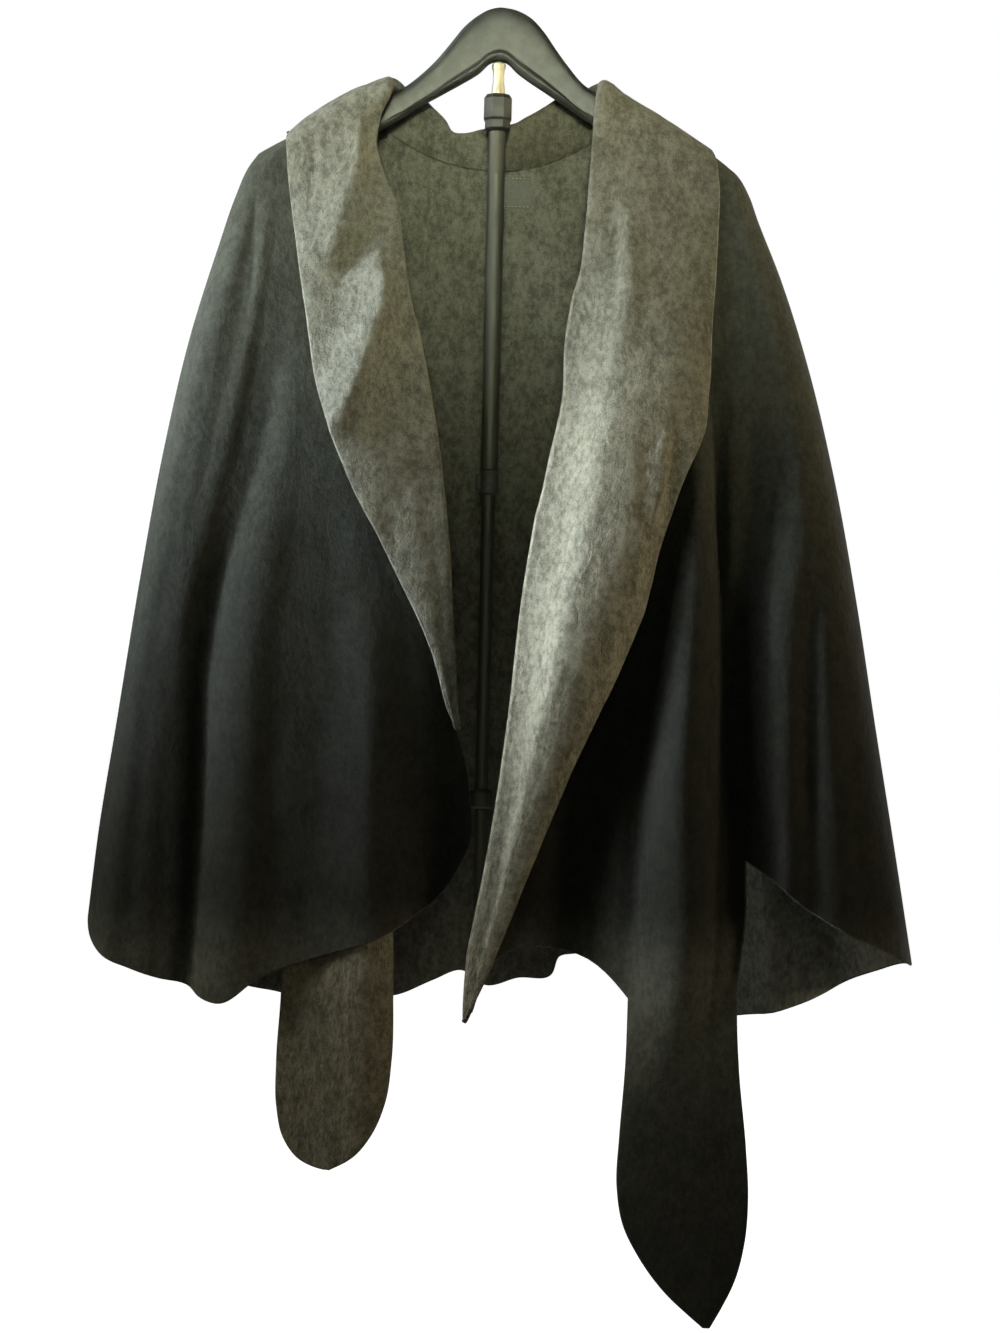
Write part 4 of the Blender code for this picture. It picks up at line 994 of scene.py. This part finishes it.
def ring_faces(rings, sides):
    """The sides and two ends of a stack of rings."""
    faces = []
    for j in range(rings - 1):
        for k in range(sides):
            a, b = j * sides + k, j * sides + (k + 1) % sides
            faces.append((a, b, b + sides, a + sides))
    return faces + [tuple(range(sides))[::-1], tuple(range((rings - 1) * sides, rings * sides))]


def turned_rings(profile, sides):
    turn = ring_turns(sides)
    rings = [np.stack([r * np.cos(turn), r * np.sin(turn), np.full(sides, z)], axis=1) for r, z in profile]
    return np.vstack(rings)


def add_turned(name, node, profile, material, sides=ROUND_SIDES):
    """A solid turned about the pole's axis from its (radius, z) profile."""
    faces = ring_faces(len(profile), sides)
    piece = add_mesh(name, turned_rings(profile, sides), faces, [material], sharp=HARD_SHARP_ANGLE)
    dress(piece, node)


def block(centre, size):
    """The points and faces of a block with rounded corners and chamfered ends."""
    x, y = (part / 2 for part in rounded_ring(BLOCK_SIDES, BLOCK_ROUNDNESS))
    profile = ((BLOCK_CHAMFER, -1), (1, -BLOCK_CHAMFER), (1, BLOCK_CHAMFER), (BLOCK_CHAMFER, 1))
    rings = [np.stack([x * reach, y * reach, np.full(BLOCK_SIDES, z / 2)], axis=1) for reach, z in profile]
    return np.vstack(rings) * size + centre, ring_faces(len(rings), BLOCK_SIDES)


def joined(parts):
    """The points and faces of several shapes as one mesh."""
    points, faces, count = [], [], 0
    for some_points, some_faces in parts:
        points.append(some_points)
        faces += [tuple(int(k) + count for k in face) for face in some_faces]
        count += len(some_points)
    return np.vstack(points), faces


def make_pole(steel, brass, socket, clamp):
    for node, profile in POLE.items():
        slot, material = ("brass", brass) if node == "pole_tip" else ("pole_metal", steel)
        add_turned(node + "_turned", node, profile, material)
    add_turned("pole_socket_moulded", "pole_socket", SOCKET, socket, SOCKET_SIDES)
    (low, high), r, chamfer = CLAMP_HEIGHTS, CLAMP_RADIUS, CLAMP_CHAMFER
    profile = [(r - chamfer, low), (r, low + chamfer), (r, high - chamfer), (r - chamfer, high)]
    ring = turned_rings(profile, ROUND_SIDES), ring_faces(len(profile), ROUND_SIDES)
    parts = joined([ring, block((-r, 0, (low + high) / 2), CLAMP_LUG)])
    piece = add_mesh("pole_clamp_ring", *parts, [clamp], sharp=HARD_SHARP_ANGLE)
    dress(piece, "pole_clamp")


class Material:
    """A material whose shader is a Principled BSDF, with short calls for adding nodes."""

    def __init__(self, name, **settings):
        self.material = bpy.data.materials.new(name)
        self.material.use_nodes = True
        self.tree = self.material.node_tree
        self.shader = self.tree.nodes["Principled BSDF"]
        for socket, value in settings.items():
            self.shader.inputs[socket.replace("_", " ")].default_value = value
        self.place = self.add("ShaderNodeTexCoord").outputs["Object"]

    def add(self, kind, **inputs):
        node = self.tree.nodes.new(kind)
        for name, value in inputs.items():
            self.put(value, node.inputs[name.replace("_", " ")])
        return node

    def put(self, value, socket):
        if isinstance(value, bpy.types.NodeSocket):
            self.tree.links.new(value, socket)
        else:
            socket.default_value = value

    def noise(self, scale, detail=2.0, roughness=0.5, stretch=(1, 1, 1)):
        mapped = self.add("ShaderNodeMapping", Vector=self.place, Scale=stretch).outputs["Vector"]
        node = self.add("ShaderNodeTexNoise", Vector=mapped, Scale=scale, Detail=detail, Roughness=roughness)
        return node.outputs["Factor"] if "Factor" in node.outputs else node.outputs["Fac"]

    def sum_of(self, *terms):
        """A weighted sum of (value, weight) terms."""
        total = None
        for value, weight in terms:
            node = self.add("ShaderNodeMath")
            node.operation = "MULTIPLY_ADD"
            for socket, given in zip(node.inputs, (value, weight, 0.0 if total is None else total)):
                self.put(given, socket)
            total = node.outputs[0]
        return total

    def range_of(self, value, low, high, to_low=0.0, to_high=1.0):
        node = self.add("ShaderNodeMapRange")
        node.interpolation_type = "SMOOTHSTEP"
        for socket, given in zip(node.inputs, (value, low, high, to_low, to_high)):
            self.put(given, socket)
        return node.outputs["Result"]

    def mix(self, share, first, second, blend="MIX"):
        """A mix of two colours, which are the node's inputs 6 and 7; its output 2 is the result."""
        node = self.add("ShaderNodeMix")
        node.data_type = "RGBA"
        node.blend_type = blend
        for index, given in ((0, share), (6, first), (7, second)):
            if isinstance(given, tuple):
                given = (*given, 1)
            self.put(given, node.inputs[index])
        return node.outputs[2]

    def height(self):
        return self.add("ShaderNodeSeparateXYZ", Vector=self.place).outputs["Z"]

    def bump(self, value, strength, distance):
        node = self.add("ShaderNodeBump", Strength=strength, Distance=distance, Height=value)
        self.put(node.outputs["Normal"], self.shader.inputs["Normal"])

    def colour(self, value):
        self.put(value, self.shader.inputs["Base Color"])


def felt(made, relief):
    """Felted fibres, as a value from 0 to 1: clumps drawn out along the cloth, blotches and a nap."""
    layers = [(made.noise(*noise, WOOL_STRETCH), *shares) for noise, *shares in FELT]
    made.bump(made.sum_of(*((noise, share) for noise, share, _ in layers)), FELT_BUMP, relief)
    return made.range_of(made.sum_of(*((noise, share) for noise, _, share in layers)), *FELT_RANGE)


def toned_by_painted_light(made, cloth, tones):
    """A cloth's colour made paler or deeper at some heights, painted light and shade: rows of (height,
    gain).
    """
    height, rises = made.height(), [(tones[0][1], 1.0)]
    for (low, before), (high, after) in zip(tones, tones[1:]):
        rises.append((made.range_of(height, low, high, 0.0, after - before), 1.0))
    return made.mix(1.0, cloth, made.sum_of(*rises), "MULTIPLY")


def wool(name, specular, sheen, tint):
    return Material(name, Roughness=FELT_ROUGHNESS, Specular_IOR_Level=specular, Sheen_Weight=sheen,
                    Sheen_Roughness=SHEEN_ROUGHNESS, Sheen_Tint=tint)


def make_black_wool():
    made = wool("black_wool_cloth", *BLACK_SHINE)
    fleck = felt(made, BLACK_RELIEF)
    # Painted light: the black turns lighter towards the shoulders
    base = made.mix(made.range_of(made.height(), *PAINTED_TOP_LIGHT_HEIGHTS), BLACK_LOW, BLACK_HIGH)
    low, high = (made.mix(1.0, base, (gain,) * 3, "MULTIPLY") for gain in (1 - FLECK_GAIN, 1 + FLECK_GAIN))
    # Painted light and shade by height over the flecked black
    made.colour(toned_by_painted_light(made, made.mix(fleck, low, high), BLACK_PAINTED_LIGHT_TONES))
    return made.material


def make_grey_wool(name, dark, light, tones):
    made = wool(name, *GREY_SHINE)
    cloth = made.mix(felt(made, GREY_RELIEF), dark, light)
    made.colour(toned_by_painted_light(made, cloth, tones) if tones else cloth)
    return made.material


def make_plastic(name, colour, roughness):
    made = Material(name, Roughness=roughness, Specular_IOR_Level=0.5)
    scuffed = tuple(part * SCUFF_GAIN + SCUFF_LIFT for part in colour)
    made.colour(made.mix(made.range_of(made.noise(*SCUFFS), *SCUFF_RANGE), colour, scuffed))
    made.bump(made.noise(*PLASTIC_GRAIN), *PLASTIC_RELIEF)
    return made.material


def make_metal(name, colour, roughness, metallic):
    made = Material(name, Metallic=metallic)
    brushed = made.noise(*BRUSHING)
    value = made.sum_of((brushed, 0.5), (made.noise(*WEAR), 0.5))
    worn = tuple(part * WORN_GAIN for part in colour)
    made.colour(made.mix(made.range_of(value, *WORN_RANGE), worn, colour))
    rough = made.range_of(value, *ROUGH_RANGE, *(roughness * gain for gain in ROUGH_GAINS))
    made.put(rough, made.shader.inputs["Roughness"])
    made.bump(brushed, *METAL_RELIEF)
    return made.material


def make_label_cloth():
    made = Material("label_satin", **LABEL_SHINE)
    weave = made.noise(*WEAVE)
    made.colour(made.mix(made.range_of(weave, *WEAVE_RANGE), *WEAVE_COLOURS))
    made.bump(weave, *WEAVE_RELIEF)
    return made.material


def make_camera():
    data = bpy.data.cameras.new("camera")
    data.sensor_width = SENSOR
    data.lens = SENSOR * abs(CAMERA_PLACE[1]) / (PHOTO_ROWS * PIXEL * MM)
    camera = bpy.data.objects.new("camera", data)
    turned = Matrix.Rotation(math.radians(CAMERA_ROLL), 4, "Y") @ Matrix.Rotation(math.radians(90), 4, "X")
    camera.matrix_world = Matrix.Translation(CAMERA_PLACE) @ turned
    bpy.context.scene.collection.objects.link(camera)
    bpy.context.scene.camera = camera


def make_light():
    """Soft light from the camera's left and above, little from elsewhere, and a white surround."""
    for name, (place, aim, size, power, colour, spread) in LIGHTS.items():
        data = bpy.data.lights.new(name, "AREA")
        data.shape = "RECTANGLE"
        data.size, data.size_y = size
        data.energy = power
        data.color = colour
        data.spread = math.radians(spread)
        light = bpy.data.objects.new(name, data)
        light.location = place
        light.rotation_euler = (Vector(aim) - Vector(place)).to_track_quat("-Z", "Y").to_euler()
        bpy.context.scene.collection.objects.link(light)
    world = bpy.data.worlds.new("surround")
    bpy.context.scene.world = world
    world.use_nodes = True
    tree = world.node_tree
    seen = tree.nodes["Background"]
    seen.inputs["Color"].default_value = (1, 1, 1, 1)
    seen.inputs["Strength"].default_value = 1.0
    ambient = tree.nodes.new("ShaderNodeBackground")
    ambient.inputs["Color"].default_value = AMBIENT_COLOUR
    ambient.inputs["Strength"].default_value = AMBIENT_STRENGTH
    path = tree.nodes.new("ShaderNodeLightPath")
    mixed = tree.nodes.new("ShaderNodeMixShader")
    tree.links.new(path.outputs["Is Camera Ray"], mixed.inputs[0])
    tree.links.new(ambient.outputs[0], mixed.inputs[1])
    tree.links.new(seen.outputs[0], mixed.inputs[2])
    tree.links.new(mixed.outputs[0], tree.nodes["World Output"].inputs["Surface"])
    bpy.context.scene.view_settings.view_transform = "Standard"


def make_floor():
    made = Material("pale_floor", Roughness=0.9, Specular_IOR_Level=0.1)
    made.colour(made.mix(made.noise(*FLOOR_CLOUD), *FLOOR_COLOURS))
    made.shader.inputs["Emission Color"].default_value = (1, 1, 1, 1)
    seen = made.add("ShaderNodeLightPath").outputs["Is Camera Ray"]
    made.put(made.range_of(seen, 0.0, 1.0), made.shader.inputs["Emission Strength"])
    corners = ((-1, -1), (1, -1), (1, 1), (-1, 1))
    points = [(x * FLOOR_SIZE / 2, y * FLOOR_SIZE / 2, FLOOR_HEIGHT) for x, y in corners]
    add_mesh("floor", points, [(0, 1, 2, 3)], [made.material])


black = make_black_wool()
grey, left_collar_lit_grey, tail_grey, cut_edge, grey_edge = (make_grey_wool(name, *row) for name, row in GREYS.items())
thread, moulding, socket, clamp = (make_plastic(name, *row) for name, row in PLASTICS.items())
steel, brass = (make_metal(name, *row) for name, row in METALS.items())
right_front = make_front_right([black, grey, cut_edge])
left_front = make_front_left([black, grey, cut_edge])
back_panel = make_back([black, grey, cut_edge])
make_collars((right_front, left_front), back_panel, (grey, left_collar_lit_grey), black, grey_edge)
# The tail's grey is a darker, warmer copy: painted shade and warm light
make_right_tail([tail_grey, black, grey_edge])
make_label([make_label_cloth(), thread])
make_hanger(moulding)
make_pole(steel, brass, socket, clamp)
make_camera()
make_light()
make_floor()
